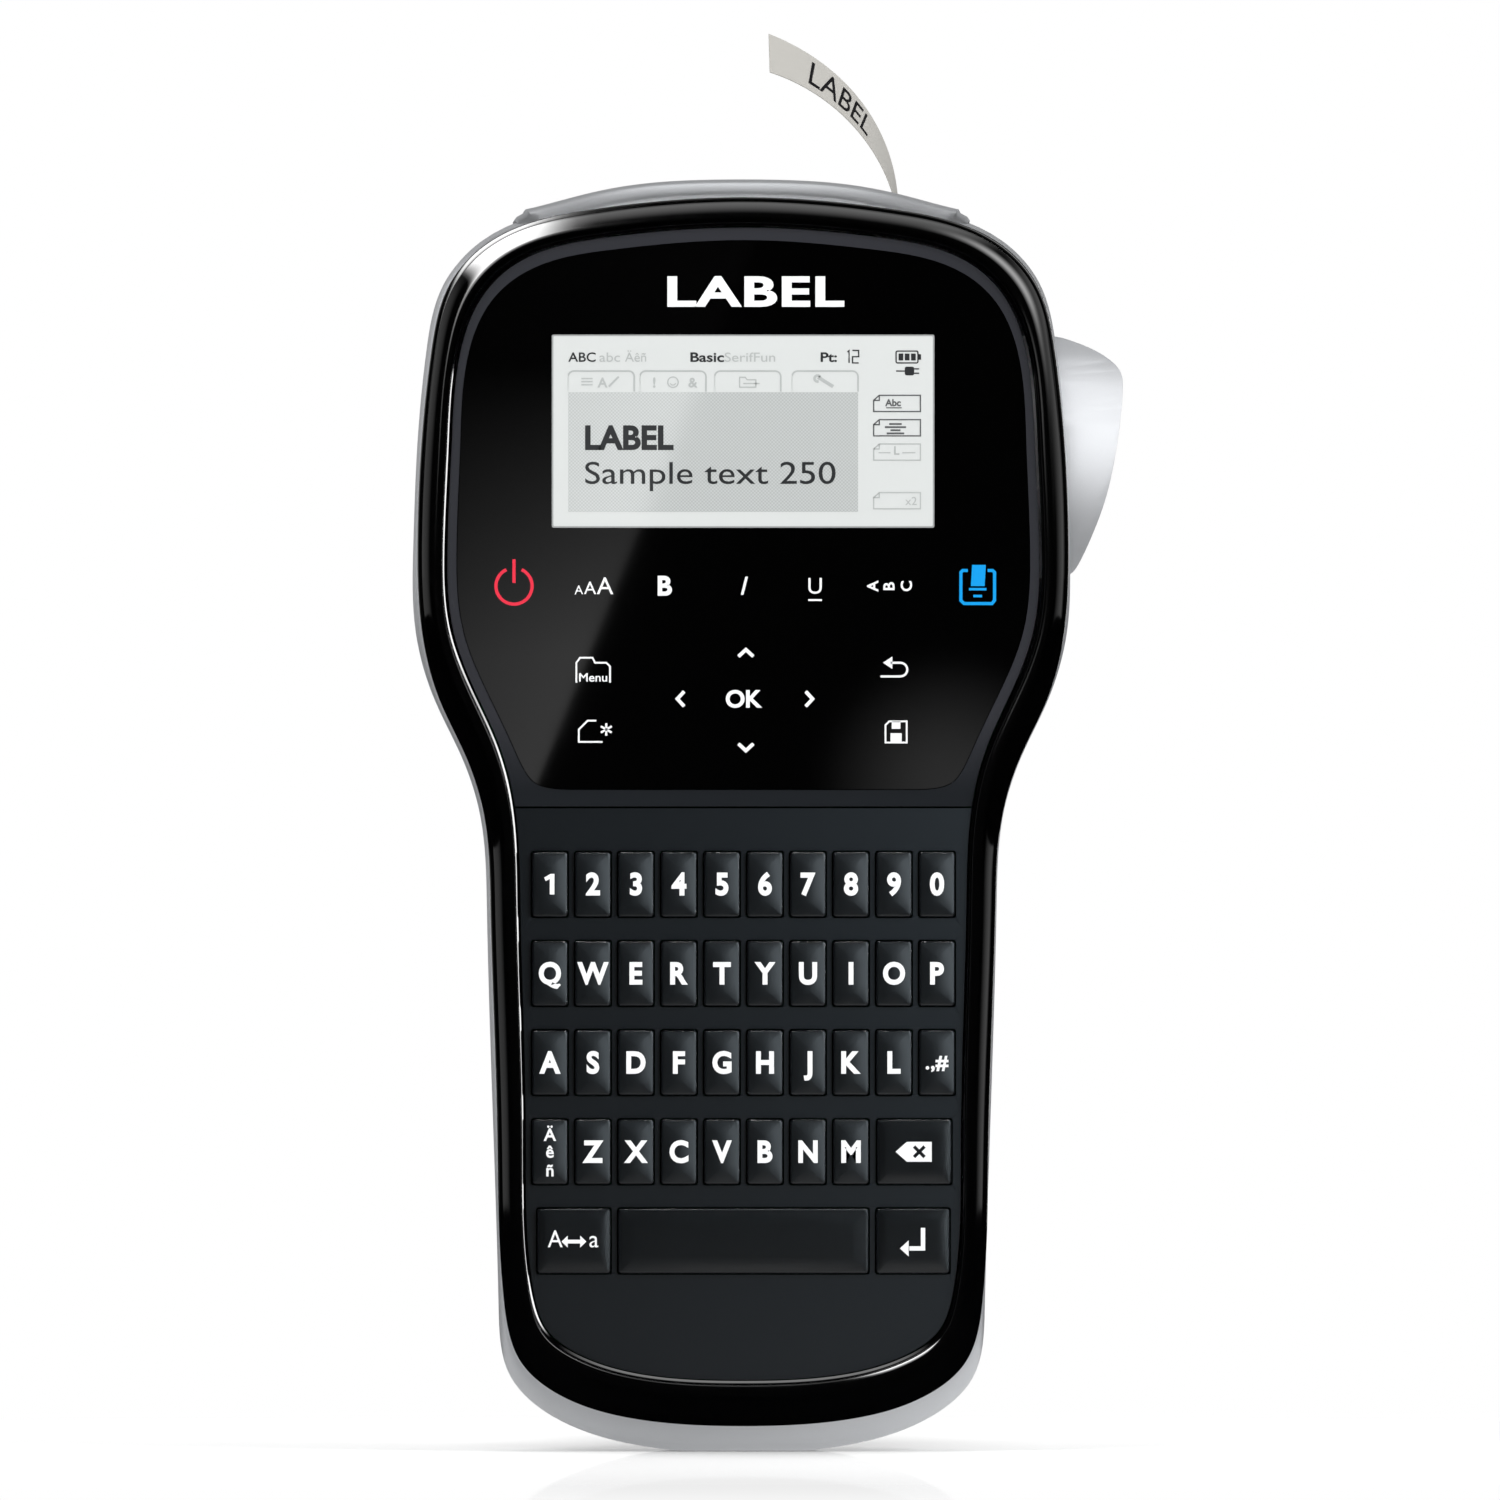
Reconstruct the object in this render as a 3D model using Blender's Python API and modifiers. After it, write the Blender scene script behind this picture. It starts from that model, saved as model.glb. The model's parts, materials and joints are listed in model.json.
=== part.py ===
"""Hand-held electronic label maker, standing on its end.

Frame: +X to the user's right, +Z up towards the tape exit, and the keys face -Y. The origin is the
middle of the small flat end that the case stands on. Sizes below are in millimetres. A "depth" is
counted from the crown of the front bezel towards the back, and at() turns it into a place.
"""

import math

import bmesh
import bpy
import numpy as np
from mathutils import Matrix, Vector

MM = 0.001
FIT = 0.3  # gap between pieces that meet

# Depths of the layers, front to back.
FOOT_DEPTH = 24.25  # the middle of the end that it stands on, where y is 0
PANEL_DEPTH = 1.4
PANEL_THICK = 1.5
KEY_PROUD = 1.2
KEY_BACK = 6.6
LCD_DEPTH = 3.2
LCD_THICK = 3.8
BOARD_DEPTH = 8.0
BOARD_THICK = 1.6
PARTING_DEPTH = 12.0  # where the bezel's skirt meets the rear case
CASE_FULL_DEPTH = 15.5
CHASSIS_DEPTH = 13.2
CHASSIS_THICK = 1.5
HANDLE_DEPTH = 40.0
HEAD_DEPTH = 57.0
HEAD_SLOPE = (88.0, 124.0)  # heights between which the back steps out from handle to head
CASE_WALL = 2.0
CASE_ROUND = 7.0
SPINE = (30.0, 165.0)  # heights between which the back's middle line runs

# Half outlines, from the bottom centre up the right-hand side to the top centre. The three of them
# have a point for each other's points, so that a loft joins them without twisting.
CASE_HALF = (
    (0, -0.45), (18.5, 1.2), (30.6, 5.6), (36.9, 11.6), (39.3, 23), (40.2, 50), (41.3, 88),
    (42.3, 102), (45.3, 111.5), (49.4, 120.3), (52.3, 131.5), (53.0, 146), (52.3, 162),
    (50.6, 177), (47.4, 187.6), (41.3, 194.2), (24, 200.2), (0, 202.1),
)
BEZEL_HALF = (
    (0, 4.2), (17.6, 5.4), (29.0, 9.3), (35.4, 14.6), (38.1, 24.5), (39.1, 50), (40.3, 88),
    (41.3, 102), (44.3, 111.6), (48.4, 120.5), (51.3, 131.6), (52.0, 146), (51.3, 162),
    (49.6, 176.8), (46.4, 187.0), (40.4, 193.6), (23.6, 199.4), (0, 201.3),
)
LIP_HALF = (
    (0, 11.4), (15.5, 12.3), (26.2, 15.4), (31.8, 19.6), (34.0, 26), (35.2, 50), (36.1, 88),
    (36.9, 103), (39.6, 113.6), (43.4, 122), (46.9, 131.5), (47.9, 145), (47.2, 162),
    (45.7, 177), (42.4, 185.3), (37.6, 190.3), (22, 195.1), (0, 196.7),
)
OUTLINE_STEPS = 2  # straight stretches between two outline points

# The bezel's section: share of the way from its outer edge to its inner lip, and depth.
BEZEL_SECTION = (
    (0.0, PARTING_DEPTH), (0.0, 2.8), (0.1, 1.1), (0.28, 0.25), (0.5, 0.0), (0.75, 0.4),
    (1.0, 1.3), (1.0, 3.2), (0.42, 3.2), (0.38, PARTING_DEPTH),
)
# The rear case's sections: share of the way from the bezel's outline to the case's, and depth.
CASE_FLARE = ((0.0, PARTING_DEPTH + FIT), (0.55, 12.8), (0.9, 14.0), (1.0, CASE_FULL_DEPTH))
# Its back: share of the way in to the middle line, and how far short of the full depth.
CASE_BACK = ((0.0, CASE_ROUND), (0.02, 4.0), (0.07, 1.6), (0.16, 0.35), (0.3, 0.05), (1.0, 0.0))

SEAM_HEIGHT = 103.4  # between the display overlay and the keypad plate

# Keys. Rows are counted from the top, and columns sit symmetrically about the centre line.
KEY_SIZE = (5.75, 10.45)
KEY_PITCH = (6.9, 14.3)
KEY_TOP_ROW = 91.05
KEY_GAP = 0.2
KEY_FLANGE = 0.35
KEY_ROWS = (
    ("digit_1", "digit_2", "digit_3", "digit_4", "digit_5", "digit_6", "digit_7", "digit_8",
     "digit_9", "digit_0"),
    ("q", "w", "e", "r", "t", "y", "u", "i", "o", "p"),
    ("a", "s", "d", "f", "g", "h", "j", "k", "l", "punctuation"),
    ("accents", "z", "x", "c", "v", "b", "n", "m"),
)
WIDE_KEYS = (("backspace", 3, 27.4, 12.0), ("shift", 4, -27.2, 11.8), ("space", 4, 0.0, 40.2),
             ("return", 4, 27.2, 11.8))  # name, row, middle, width

# The top cover and the tape's way out.
COVER_TOP_HALF = ((34.8, 199.5), (25.0, 202.0), (13.0, 203.9), (0.0, 204.3))
COVER_STEP = ((35.1, 198.9), (36.2, 198.3), (36.6, 197.7))
COVER_DEPTHS = (13.4, 47.0)
TAPE_X = 25.3
TAPE_DEPTHS = (27.5, 39.5)
TAPE_THICK = 0.15
SLOT_SIZE = (2.2, 14.0)
LABEL_FOOT = 193.0
# The label's front and back edges, as four handles of a cubic curve in X and Z.
LABEL_FRONT = ((24.9, 200.0), (23.2, 208.6), (16.0, 218.0), (4.6, 221.7))
LABEL_BACK = ((25.4, 201.0), (24.9, 211.5), (18.5, 222.5), (4.6, 228.0))

# Doors in the back: low and high corner in X and Z.
CASSETTE_DOOR = ((-37.0, 131.0), (37.0, 187.0))
BATTERY_DOOR = ((-24.5, 20.0), (24.5, 84.0))
DOOR_GAP = 0.35
DOOR_CORNER = 5.0
HINGE_X = 27.0
HINGE_LENGTH = 9.0
HINGE_RADIUS = 1.3

# What the case holds: low and high corner in X and Z, and depths.
CASSETTE = ((-38.0, 140.0), (18.0, 186.0), (24.0, 43.0))
BATTERY = ((-23.0, 23.0), (23.0, 80.0), (17.0, 35.5))
TUB_WALL = 1.2
TUB_DEPTH = 31.0
TUB_GAP = 0.5
MOTOR = (27.2, 158.0, 6.0, (16.0, 36.0))  # x, z, radius, depths
PRINT_HEAD = ((20.6, 176.0), (24.9, 189.8), (26.0, 41.0))
PLATEN = (29.7, 186.0)
PLATEN_RADIUS = 4.0
PLATEN_DEPTHS = (26.0, 41.0)
SHAFT_RADIUS = 1.2
SHAFT_DEPTHS = (21.6, 45.0)
BEARING_DEPTHS = (21.9, 24.6)
GEAR_DEPTHS = (42.0, 44.4)
GEAR_TEETH = 20
GEAR_RADII = (4.9, 5.8)
SCREWS = ((-28.0, 12.5), (28.0, 12.5), (-32.0, 93.0), (32.0, 93.0))
SCREW_WELL = (2.6, 1.2)  # radius and depth
USB_HEIGHT = 150.0
USB_DEPTH = 23.0
USB_SIZE = (8.4, 3.4)

# Cutter: the lever turns on a pin at its lower end and pushes the blade slide to the left.
LEVER_PIVOT = (49.5, 141.6)
LEVER_DEPTHS = (17.0, 41.0)
LEVER_OUTER = ((53.2, 141.0), (56.0, 146.0), (58.6, 153.6), (60.3, 161.6), (61.3, 170.2),
               (61.2, 172.2), (59.8, 174.4), (55.6, 177.0), (50.0, 178.7))
LEVER_INNER = ((41.2, 177.8), (39.9, 176.4), (39.9, 172.0), (44.8, 166.0), (44.8, 141.0),
               (46.4, 138.9), (51.4, 138.9))
LEVER_WINDOW = ((39.0, 138.2), (64.0, 180.9))
BLADE_TIP = 26.4
BLADE_HEIGHTS = (190.6, 191.2)
SLIDE_HEIGHTS = (190.4, 191.7)
SLIDE_ARM = ((37.4, 172.0), (39.6, 190.8), (17.4, 21.0))

COLOURS = {  # name: colour, roughness, metallic
    "silver_paint": ((0.56, 0.58, 0.61), 0.32, 0.75),
    "gloss_black": ((0.006, 0.006, 0.008), 0.08, 0.0),
    "overlay_black": ((0.004, 0.004, 0.005), 0.05, 0.0),
    "keypad_matte": ((0.018, 0.021, 0.026), 0.5, 0.0),
    "key_rubber": ((0.014, 0.016, 0.020), 0.45, 0.0),
    "lcd_glass": ((0.72, 0.75, 0.74), 0.2, 0.0),
    "board_green": ((0.02, 0.16, 0.06), 0.5, 0.0),
    "chassis_grey": ((0.12, 0.12, 0.13), 0.6, 0.0),
    "cassette_grey": ((0.30, 0.31, 0.33), 0.45, 0.0),
    "label_film": ((0.66, 0.65, 0.63), 0.4, 0.0),
    "platen_rubber": ((0.03, 0.03, 0.03), 0.8, 0.0),
    "steel": ((0.60, 0.61, 0.63), 0.3, 1.0),
    "battery_wrap": ((0.05, 0.06, 0.09), 0.35, 0.0),
}

for old in list(bpy.data.objects):
    bpy.data.objects.remove(old, do_unlink=True)
MODEL = bpy.data.collections.new("label_maker")
HELPERS = bpy.data.collections.new("cutters")
for collection in (MODEL, HELPERS):
    bpy.context.scene.collection.children.link(collection)


def make_material(name):
    colour, roughness, metallic = COLOURS[name]
    material = bpy.data.materials.new(name)
    material.use_nodes = True
    shader = material.node_tree.nodes["Principled BSDF"]
    shader.inputs["Base Color"].default_value = (*colour, 1.0)
    shader.inputs["Roughness"].default_value = roughness
    shader.inputs["Metallic"].default_value = metallic
    return material


MATERIALS = {name: make_material(name) for name in COLOURS}


def at(x, depth, z):
    """A place in metres from a sideways place, a depth and a height in millimetres."""
    return Vector((x, depth - FOOT_DEPTH, z)) * MM


def add_object(name, mesh, material=None):
    """A sub-part in the model where a material is named, and a helper where it isn't."""
    obj = bpy.data.objects.new(name, mesh)
    (MODEL if material else HELPERS).objects.link(obj)
    if material:
        mesh.materials.clear()
        mesh.materials.append(MATERIALS[material])
    else:
        obj.hide_render = True
        obj.display_type = "WIRE"
    return obj


def mesh_from(bm, name):
    bmesh.ops.recalc_face_normals(bm, faces=bm.faces)
    mesh = bpy.data.meshes.new(name)
    bm.to_mesh(mesh)
    bm.free()
    return mesh


def move_origin(obj, place):
    """Sets the object's origin at a place, with its shape left where it is."""
    obj.data.transform(Matrix.Translation(obj.location - place))
    obj.location = place
    return obj


def boolean(obj, other, operation="DIFFERENCE"):
    modifier = obj.modifiers.new(f"{operation.lower()}_{other.name}", "BOOLEAN")
    modifier.operation = operation
    modifier.solver = "EXACT"
    modifier.object = other


def bevel(obj, width, segments=1, angle=40):
    modifier = obj.modifiers.new("rounded_edges", "BEVEL")
    modifier.width = width * MM
    modifier.segments = segments
    modifier.limit_method = "ANGLE"
    modifier.angle_limit = math.radians(angle)


def box(name, low, high, depths, material=None):
    """A box from its low and high corner in X and Z and its two depths."""
    bpy.ops.mesh.primitive_cube_add(size=1)
    mesh = bpy.context.object.data
    bpy.data.objects.remove(bpy.context.object)
    first, last = at(low[0], depths[0], low[1]), at(high[0], depths[1], high[1])
    mesh.transform(Matrix.Diagonal((*(last - first), 1)))
    obj = add_object(name, mesh, material)
    obj.location = (first + last) / 2
    return obj


def rod(name, x, z, radius, depths, sides=20, material=None):
    """A cylinder that runs front to back."""
    bm = bmesh.new()
    length = (depths[1] - depths[0]) * MM
    bmesh.ops.create_cone(bm, cap_ends=True, segments=sides, radius1=radius * MM,
                          radius2=radius * MM, depth=length,
                          matrix=Matrix.Rotation(math.radians(90), 4, "X"))
    obj = add_object(name, mesh_from(bm, name), material)
    obj.location = at(x, sum(depths) / 2, z)
    return obj


def plate(name, outlines, depths, material=None):
    """A flat piece from closed outlines in X and Z: the first is its edge, the others are holes."""
    curve = bpy.data.curves.new(name, "CURVE")
    curve.dimensions = "2D"
    curve.fill_mode = "BOTH"
    curve.extrude = (depths[1] - depths[0]) / 2 * MM
    for outline in outlines:
        spline = curve.splines.new("POLY")
        spline.points.add(len(outline) - 1)
        for point, (x, z) in zip(spline.points, outline):
            point.co = (x * MM, z * MM, 0, 1)
        spline.use_cyclic_u = True
    drawn = bpy.data.objects.new(name, curve)
    bpy.context.scene.collection.objects.link(drawn)
    drawn.matrix_world = (Matrix.Translation(at(0, sum(depths) / 2, 0))
                          @ Matrix.Rotation(math.radians(90), 4, "X"))
    bpy.context.view_layer.update()
    graph = bpy.context.evaluated_depsgraph_get()
    mesh = bpy.data.meshes.new_from_object(drawn.evaluated_get(graph))
    mesh.transform(drawn.matrix_world)
    bpy.data.objects.remove(drawn)
    bm = bmesh.new()
    bm.from_mesh(mesh)
    bmesh.ops.remove_doubles(bm, verts=bm.verts, dist=1e-6)
    bpy.data.meshes.remove(mesh)
    return add_object(name, mesh_from(bm, name), material)


def rectangle(low, high):
    return [(low[0], low[1]), (high[0], low[1]), (high[0], high[1]), (low[0], high[1])]


def rounded_rectangle(low, high, radius, steps=4):
    points = []
    corners = ((high[0], low[1], -90), (high[0], high[1], 0), (low[0], high[1], 90),
               (low[0], low[1], 180))
    for x, z, start in corners:
        middle_x = x - math.copysign(radius, x - (low[0] + high[0]) / 2)
        middle_z = z - math.copysign(radius, z - (low[1] + high[1]) / 2)
        for step in range(steps + 1):
            angle = math.radians(start + 90 * step / steps)
            points.append((middle_x + radius * math.cos(angle), middle_z + radius * math.sin(angle)))
    return points


def circle(x, z, radius, sides=20):
    turns = [2 * math.pi * step / sides for step in range(sides)]
    return [(x + radius * math.cos(turn), z + radius * math.sin(turn)) for turn in turns]


def closed_spline(points, steps):
    """Points on the smooth closed curve through the given ones, steps of them to each span."""
    points = np.array(points, float)
    count = len(points)
    following = np.roll(points, -1, axis=0)
    spans = np.linalg.norm(following - points, axis=1)
    system, right = np.zeros((count, count)), np.zeros((count, 2))
    for i in range(count):
        before, after = spans[i - 1], spans[i]
        system[i, i - 1] += after
        system[i, i] += 2 * (before + after)
        system[i, (i + 1) % count] += before
        right[i] = 3 * (after * (points[i] - points[i - 1]) / before
                        + before * (following[i] - points[i]) / after)
    slopes = np.linalg.solve(system, right)
    made = []
    for i in range(count):
        for t in np.arange(steps) / steps:
            made.append((1 + 2 * t) * (1 - t) ** 2 * points[i]
                        + t * (1 - t) ** 2 * spans[i] * slopes[i]
                        + t * t * (3 - 2 * t) * following[i]
                        - t * t * (1 - t) * spans[i] * slopes[(i + 1) % count])
    return np.array(made)


def outline(half, steps=OUTLINE_STEPS):
    """The whole outline from its right half, which runs from the bottom centre to the top centre."""
    mirrored = [(-x, z) for x, z in reversed(half[1:-1])]
    return closed_spline([*half, *mirrored], steps)


def towards_spine(points, share, spine=SPINE):
    """The outline drawn in by a share of the way to the middle line."""
    middle = np.column_stack([np.zeros(len(points)), np.clip(points[:, 1], *spine)])
    return points + (middle - points) * share


def above(points, height):
    """The part of an outline above a height, closed by a straight edge there."""
    return clipped(points, lambda z: z - height)


def below(points, height):
    return clipped(points, lambda z: height - z)


def clipped(points, inside):
    """An outline cut along a level line, by the Sutherland-Hodgman rule."""
    kept = []
    for start, end in zip(points, np.roll(points, -1, axis=0)):
        here, there = inside(start[1]), inside(end[1])
        if here >= 0:
            kept.append(tuple(start))
        if here * there < 0:
            kept.append(tuple(start + (end - start) * here / (here - there)))
    return kept


def loft(name, rings, around=False):
    """A mesh through rings of (x, depth, z) points. around joins the last ring to the first."""
    bm = bmesh.new()
    rows = [[bm.verts.new(at(*point)) for point in ring] for ring in rings]
    pairs = list(zip(rows, rows[1:])) + ([(rows[-1], rows[0])] if around else [])
    for first, second in pairs:
        for i in range(len(first)):
            j = (i + 1) % len(first)
            bm.faces.new((first[i], first[j], second[j], second[i]))
    bmesh.ops.remove_doubles(bm, verts=bm.verts, dist=1e-7)
    bmesh.ops.dissolve_degenerate(bm, edges=bm.edges, dist=1e-7)
    return mesh_from(bm, name)


def rear_depth(z):
    """How deep the back is at a height: shallow at the handle, deep at the head."""
    share = np.clip((z - HEAD_SLOPE[0]) / (HEAD_SLOPE[1] - HEAD_SLOPE[0]), 0, 1)
    return HANDLE_DEPTH + (HEAD_DEPTH - HANDLE_DEPTH) * share * share * (3 - 2 * share)


def case_shell(name, material):
    """The whole rear shell before any opening is cut in it."""
    case, bezel = outline(CASE_HALF), outline(BEZEL_HALF)
    case[:, 1] = np.maximum(case[:, 1], 0)  # the flat end that it stands on
    rings = []
    for share, depth in CASE_FLARE:
        ring = bezel + (case - bezel) * share
        rings.append([(x, depth, z) for x, z in ring])
    for share, short in CASE_BACK:
        ring = towards_spine(case, share)
        rings.append([(x, rear_depth(z) - short, z) for x, z in ring])
    obj = add_object(name, loft(name, rings), material)
    wall = obj.modifiers.new("wall", "SOLIDIFY")
    wall.thickness = CASE_WALL * MM
    wall.offset = -1
    wall.use_even_offset = True
    return obj


def door_prism(name, corners, grow):
    """A rounded block through the back wall, grown on each side."""
    low, high = corners
    ring = rounded_rectangle((low[0] - grow, low[1] - grow), (high[0] + grow, high[1] + grow),
                             DOOR_CORNER + grow)
    return plate(name, [ring], (HANDLE_DEPTH - 4, HEAD_DEPTH + 4))


def hinge_barrel(name, side, grow):
    """One knuckle of the cassette door's hinge, lying along X at the door's lower outer edge."""
    bm = bmesh.new()
    bmesh.ops.create_cone(bm, cap_ends=True, segments=16, radius1=(HINGE_RADIUS + grow) * MM,
                          radius2=(HINGE_RADIUS + grow) * MM,
                          depth=(HINGE_LENGTH + 2 * grow) * MM,
                          matrix=Matrix.Rotation(math.radians(90), 4, "Y"))
    obj = add_object(name, mesh_from(bm, name))
    obj.location = at(side * HINGE_X, HEAD_DEPTH, CASSETTE_DOOR[0][1])
    return obj


def make_rear_case():
    case = case_shell("rear_case", "silver_paint")
    cutters = [
        door_prism("cassette_opening", CASSETTE_DOOR, 0),
        door_prism("battery_opening", BATTERY_DOOR, 0),
        box("lever_window", *LEVER_WINDOW, (LEVER_DEPTHS[0] - 0.7, LEVER_DEPTHS[1] + 0.7)),
        box("tape_slot_in_case", (TAPE_X - SLOT_SIZE[0] / 2, 190),
            (TAPE_X + SLOT_SIZE[0] / 2, 210), slot_depths()),
        box("usb_opening", (-60, USB_HEIGHT - USB_SIZE[0] / 2), (-48, USB_HEIGHT + USB_SIZE[0] / 2),
            (USB_DEPTH - USB_SIZE[1] / 2, USB_DEPTH + USB_SIZE[1] / 2)),
    ]
    cutters += [hinge_barrel(f"hinge_notch_{side}", side, 0.4) for side in (-1, 1)]
    for number, (x, z) in enumerate(SCREWS):
        back = float(rear_depth(z))
        cutters.append(rod(f"screw_well_{number}", x, z, SCREW_WELL[0],
                           (back - SCREW_WELL[1], back + 3), sides=16))
    for cutter in cutters:
        boolean(case, cutter)


def slot_depths():
    middle = sum(TAPE_DEPTHS) / 2
    return middle - SLOT_SIZE[1] / 2, middle + SLOT_SIZE[1] / 2


def make_cassette_door():
    door = case_shell("cassette_door", "silver_paint")
    boolean(door, door_prism("cassette_door_block", CASSETTE_DOOR, -DOOR_GAP), "INTERSECT")
    for side in (-1, 1):
        boolean(door, hinge_barrel(f"hinge_barrel_{side}", side, 0), "UNION")
    move_origin(door, at(0, HEAD_DEPTH, CASSETTE_DOOR[0][1]))


def make_battery_door():
    door = case_shell("battery_door", "silver_paint")
    boolean(door, door_prism("battery_door_block", BATTERY_DOOR, -DOOR_GAP), "INTERSECT")
    move_origin(door, at(0, HANDLE_DEPTH, sum(z for _, z in BATTERY_DOOR) / 2))


def make_bezel():
    outer, inner = outline(BEZEL_HALF), outline(LIP_HALF)
    rings = []
    for share, depth in BEZEL_SECTION:
        ring = outer + (inner - outer) * share
        rings.append([(x, depth, z) for x, z in ring])
    add_object("front_bezel", loft("front_bezel", rings, around=True), "gloss_black")


def panel_outline():
    """What fits inside the bezel's lip."""
    return towards_spine(outline(LIP_HALF), 0.009)


def make_display_overlay():
    ring = above(panel_outline(), SEAM_HEIGHT + FIT / 2)
    overlay = plate("display_overlay", [ring], (PANEL_DEPTH, PANEL_DEPTH + PANEL_THICK),
                    "overlay_black")
    bevel(overlay, 0.25)


def key_places():
    """Yields each key's name, the middle of its face in X and Z, and its width."""
    for row, names in enumerate(KEY_ROWS):
        z = KEY_TOP_ROW - row * KEY_PITCH[1]
        for column, name in enumerate(names):
            yield name, ((column - 4.5) * KEY_PITCH[0], z), KEY_SIZE[0]
    for name, row, x, width in WIDE_KEYS:
        yield name, (x, KEY_TOP_ROW - row * KEY_PITCH[1]), width


def make_keypad_plate():
    holes = []
    for _, (x, z), width in key_places():
        across, up = width / 2 + KEY_GAP, KEY_SIZE[1] / 2 + KEY_GAP
        holes.append(rectangle((x - across, z - up), (x + across, z + up)))
    ring = below(panel_outline(), SEAM_HEIGHT - FIT / 2)
    plate("keypad_plate", [ring, *holes], (PANEL_DEPTH, PANEL_DEPTH + PANEL_THICK), "keypad_matte")


def make_key(name, x, z, width):
    """A flange behind the plate, with the cap drawn forward out of it."""
    up = KEY_SIZE[1]
    flange_depths = (PANEL_DEPTH + PANEL_THICK + FIT, KEY_BACK)
    bpy.ops.mesh.primitive_cube_add(size=1)
    mesh = bpy.context.object.data
    bpy.data.objects.remove(bpy.context.object)
    size = (width + 2 * KEY_FLANGE, flange_depths[1] - flange_depths[0], up + 2 * KEY_FLANGE)
    mesh.transform(Matrix.Diagonal((*(Vector(size) * MM), 1)))
    bm = bmesh.new()
    bm.from_mesh(mesh)
    front = min(bm.faces, key=lambda face: face.calc_center_median().y)
    bmesh.ops.inset_region(bm, faces=[front], thickness=KEY_FLANGE * MM)
    drawn = bmesh.ops.extrude_discrete_faces(bm, faces=[front])["faces"]
    reach = flange_depths[0] - (PANEL_DEPTH - KEY_PROUD)
    bmesh.ops.translate(bm, verts=drawn[0].verts, vec=(0, -reach * MM, 0))
    bmesh.ops.remove_doubles(bm, verts=bm.verts, dist=1e-7)
    rim = [edge for edge in drawn[0].edges]
    bmesh.ops.bevel(bm, geom=rim, offset=0.45 * MM, segments=1, affect="EDGES")
    bpy.data.meshes.remove(mesh)
    key = add_object(f"key_{name}", mesh_from(bm, name), "key_rubber")
    key.location = at(x, sum(flange_depths) / 2, z)


def make_lcd():
    lcd = box("lcd_module", (-33.0, 145.5), (33.0, 182.0), (LCD_DEPTH, LCD_DEPTH + LCD_THICK),
              "lcd_glass")
    bevel(lcd, 0.5)


def make_main_board():
    ring = towards_spine(outline(BEZEL_HALF, 1), 0.12)
    plate("main_board", [ring], (BOARD_DEPTH, BOARD_DEPTH + BOARD_THICK), "board_green")


def tub(name, low, high):
    """Four walls round a bay, standing on the chassis."""
    inner = TUB_GAP
    outer = TUB_GAP + TUB_WALL
    rings = [rectangle((low[0] - grow, low[1] - grow), (high[0] + grow, high[1] + grow))
             for grow in (outer, inner)]
    return plate(name, rings, (CHASSIS_DEPTH + 0.5, TUB_DEPTH))


def make_chassis():
    ring = towards_spine(outline(BEZEL_HALF, 1), 0.1)
    foot = CHASSIS_DEPTH + 0.5
    chassis = plate("chassis", [ring], (CHASSIS_DEPTH, CHASSIS_DEPTH + CHASSIS_THICK),
                    "chassis_grey")
    bearing = plate("bearing_plate", [rectangle((PRINT_HEAD[0][0] + 1, PLATEN[1] - 3.6),
                                                (PLATEN[0] + 3.2, PLATEN[1] + 3.6)),
                                      circle(*PLATEN, SHAFT_RADIUS + 0.15, 16)], BEARING_DEPTHS)
    motor_cup = plate("motor_cup", [circle(MOTOR[0], MOTOR[1], MOTOR[2] + 1.4),
                                    circle(MOTOR[0], MOTOR[1], MOTOR[2] + FIT)], (foot, 24.0))
    head_post = box("head_post", (PRINT_HEAD[0][0], PRINT_HEAD[0][1] + 2),
                    (PRINT_HEAD[1][0], PRINT_HEAD[1][1] - 2), (foot, PRINT_HEAD[2][0] - FIT))
    for piece in (tub("cassette_tub", *CASSETTE[:2]), tub("battery_tub", *BATTERY[:2]), bearing,
                  motor_cup, head_post):
        boolean(chassis, piece, "UNION")
    for number, (x, z) in enumerate(((-30, 100), (30, 100), (-20, 14), (20, 14))):
        post = rod(f"board_post_{number}", x, z, 2.2,
                   (BOARD_DEPTH + BOARD_THICK + FIT, foot), sides=12)
        boolean(chassis, post, "UNION")


def make_cassette():
    """The tape cassette, with a shallow raised rim and the well for the print head."""
    low, high, depths = CASSETTE
    cassette = plate("tape_cassette", [rounded_rectangle(low, high, 3.5)], depths,
                     "cassette_grey")
    spool_window = rod("spool_window", -14.0, 163.0, 7.0, (depths[1] - 1.0, depths[1] + 1), 24)
    ribbon_window = rod("ribbon_window", 6.5, 163.0, 4.0, (depths[1] - 1.0, depths[1] + 1), 20)
    for window in (spool_window, ribbon_window):
        boolean(cassette, window)
    bevel(cassette, 0.6)


def make_battery():
    low, high, depths = BATTERY
    battery = box("battery_pack", low, high, depths, "battery_wrap")
    bevel(battery, 1.6, segments=2)


def make_motor():
    x, z, radius, depths = MOTOR
    motor = rod("feed_motor", x, z, radius, depths, 24, "steel")
    boolean(motor, rod("motor_boss", x, z, 2.0, (depths[1] - 0.5, depths[1] + 1.2), 16), "UNION")
    boolean(motor, rod("motor_shaft", x, z, 0.8, (depths[1] + 0.5, depths[1] + 5), 12), "UNION")


def make_print_head():
    low, high, depths = PRINT_HEAD
    head = box("print_head", low, high, depths, "steel")
    for step in range(4):
        z = low[1] + 2.2 + step * 2.0
        boolean(head, box(f"heat_sink_slot_{step}", (low[0] - 1, z), (low[0] + 2.0, z + 1.0),
                          (depths[0] + 1.5, depths[1] + 1)))


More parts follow.
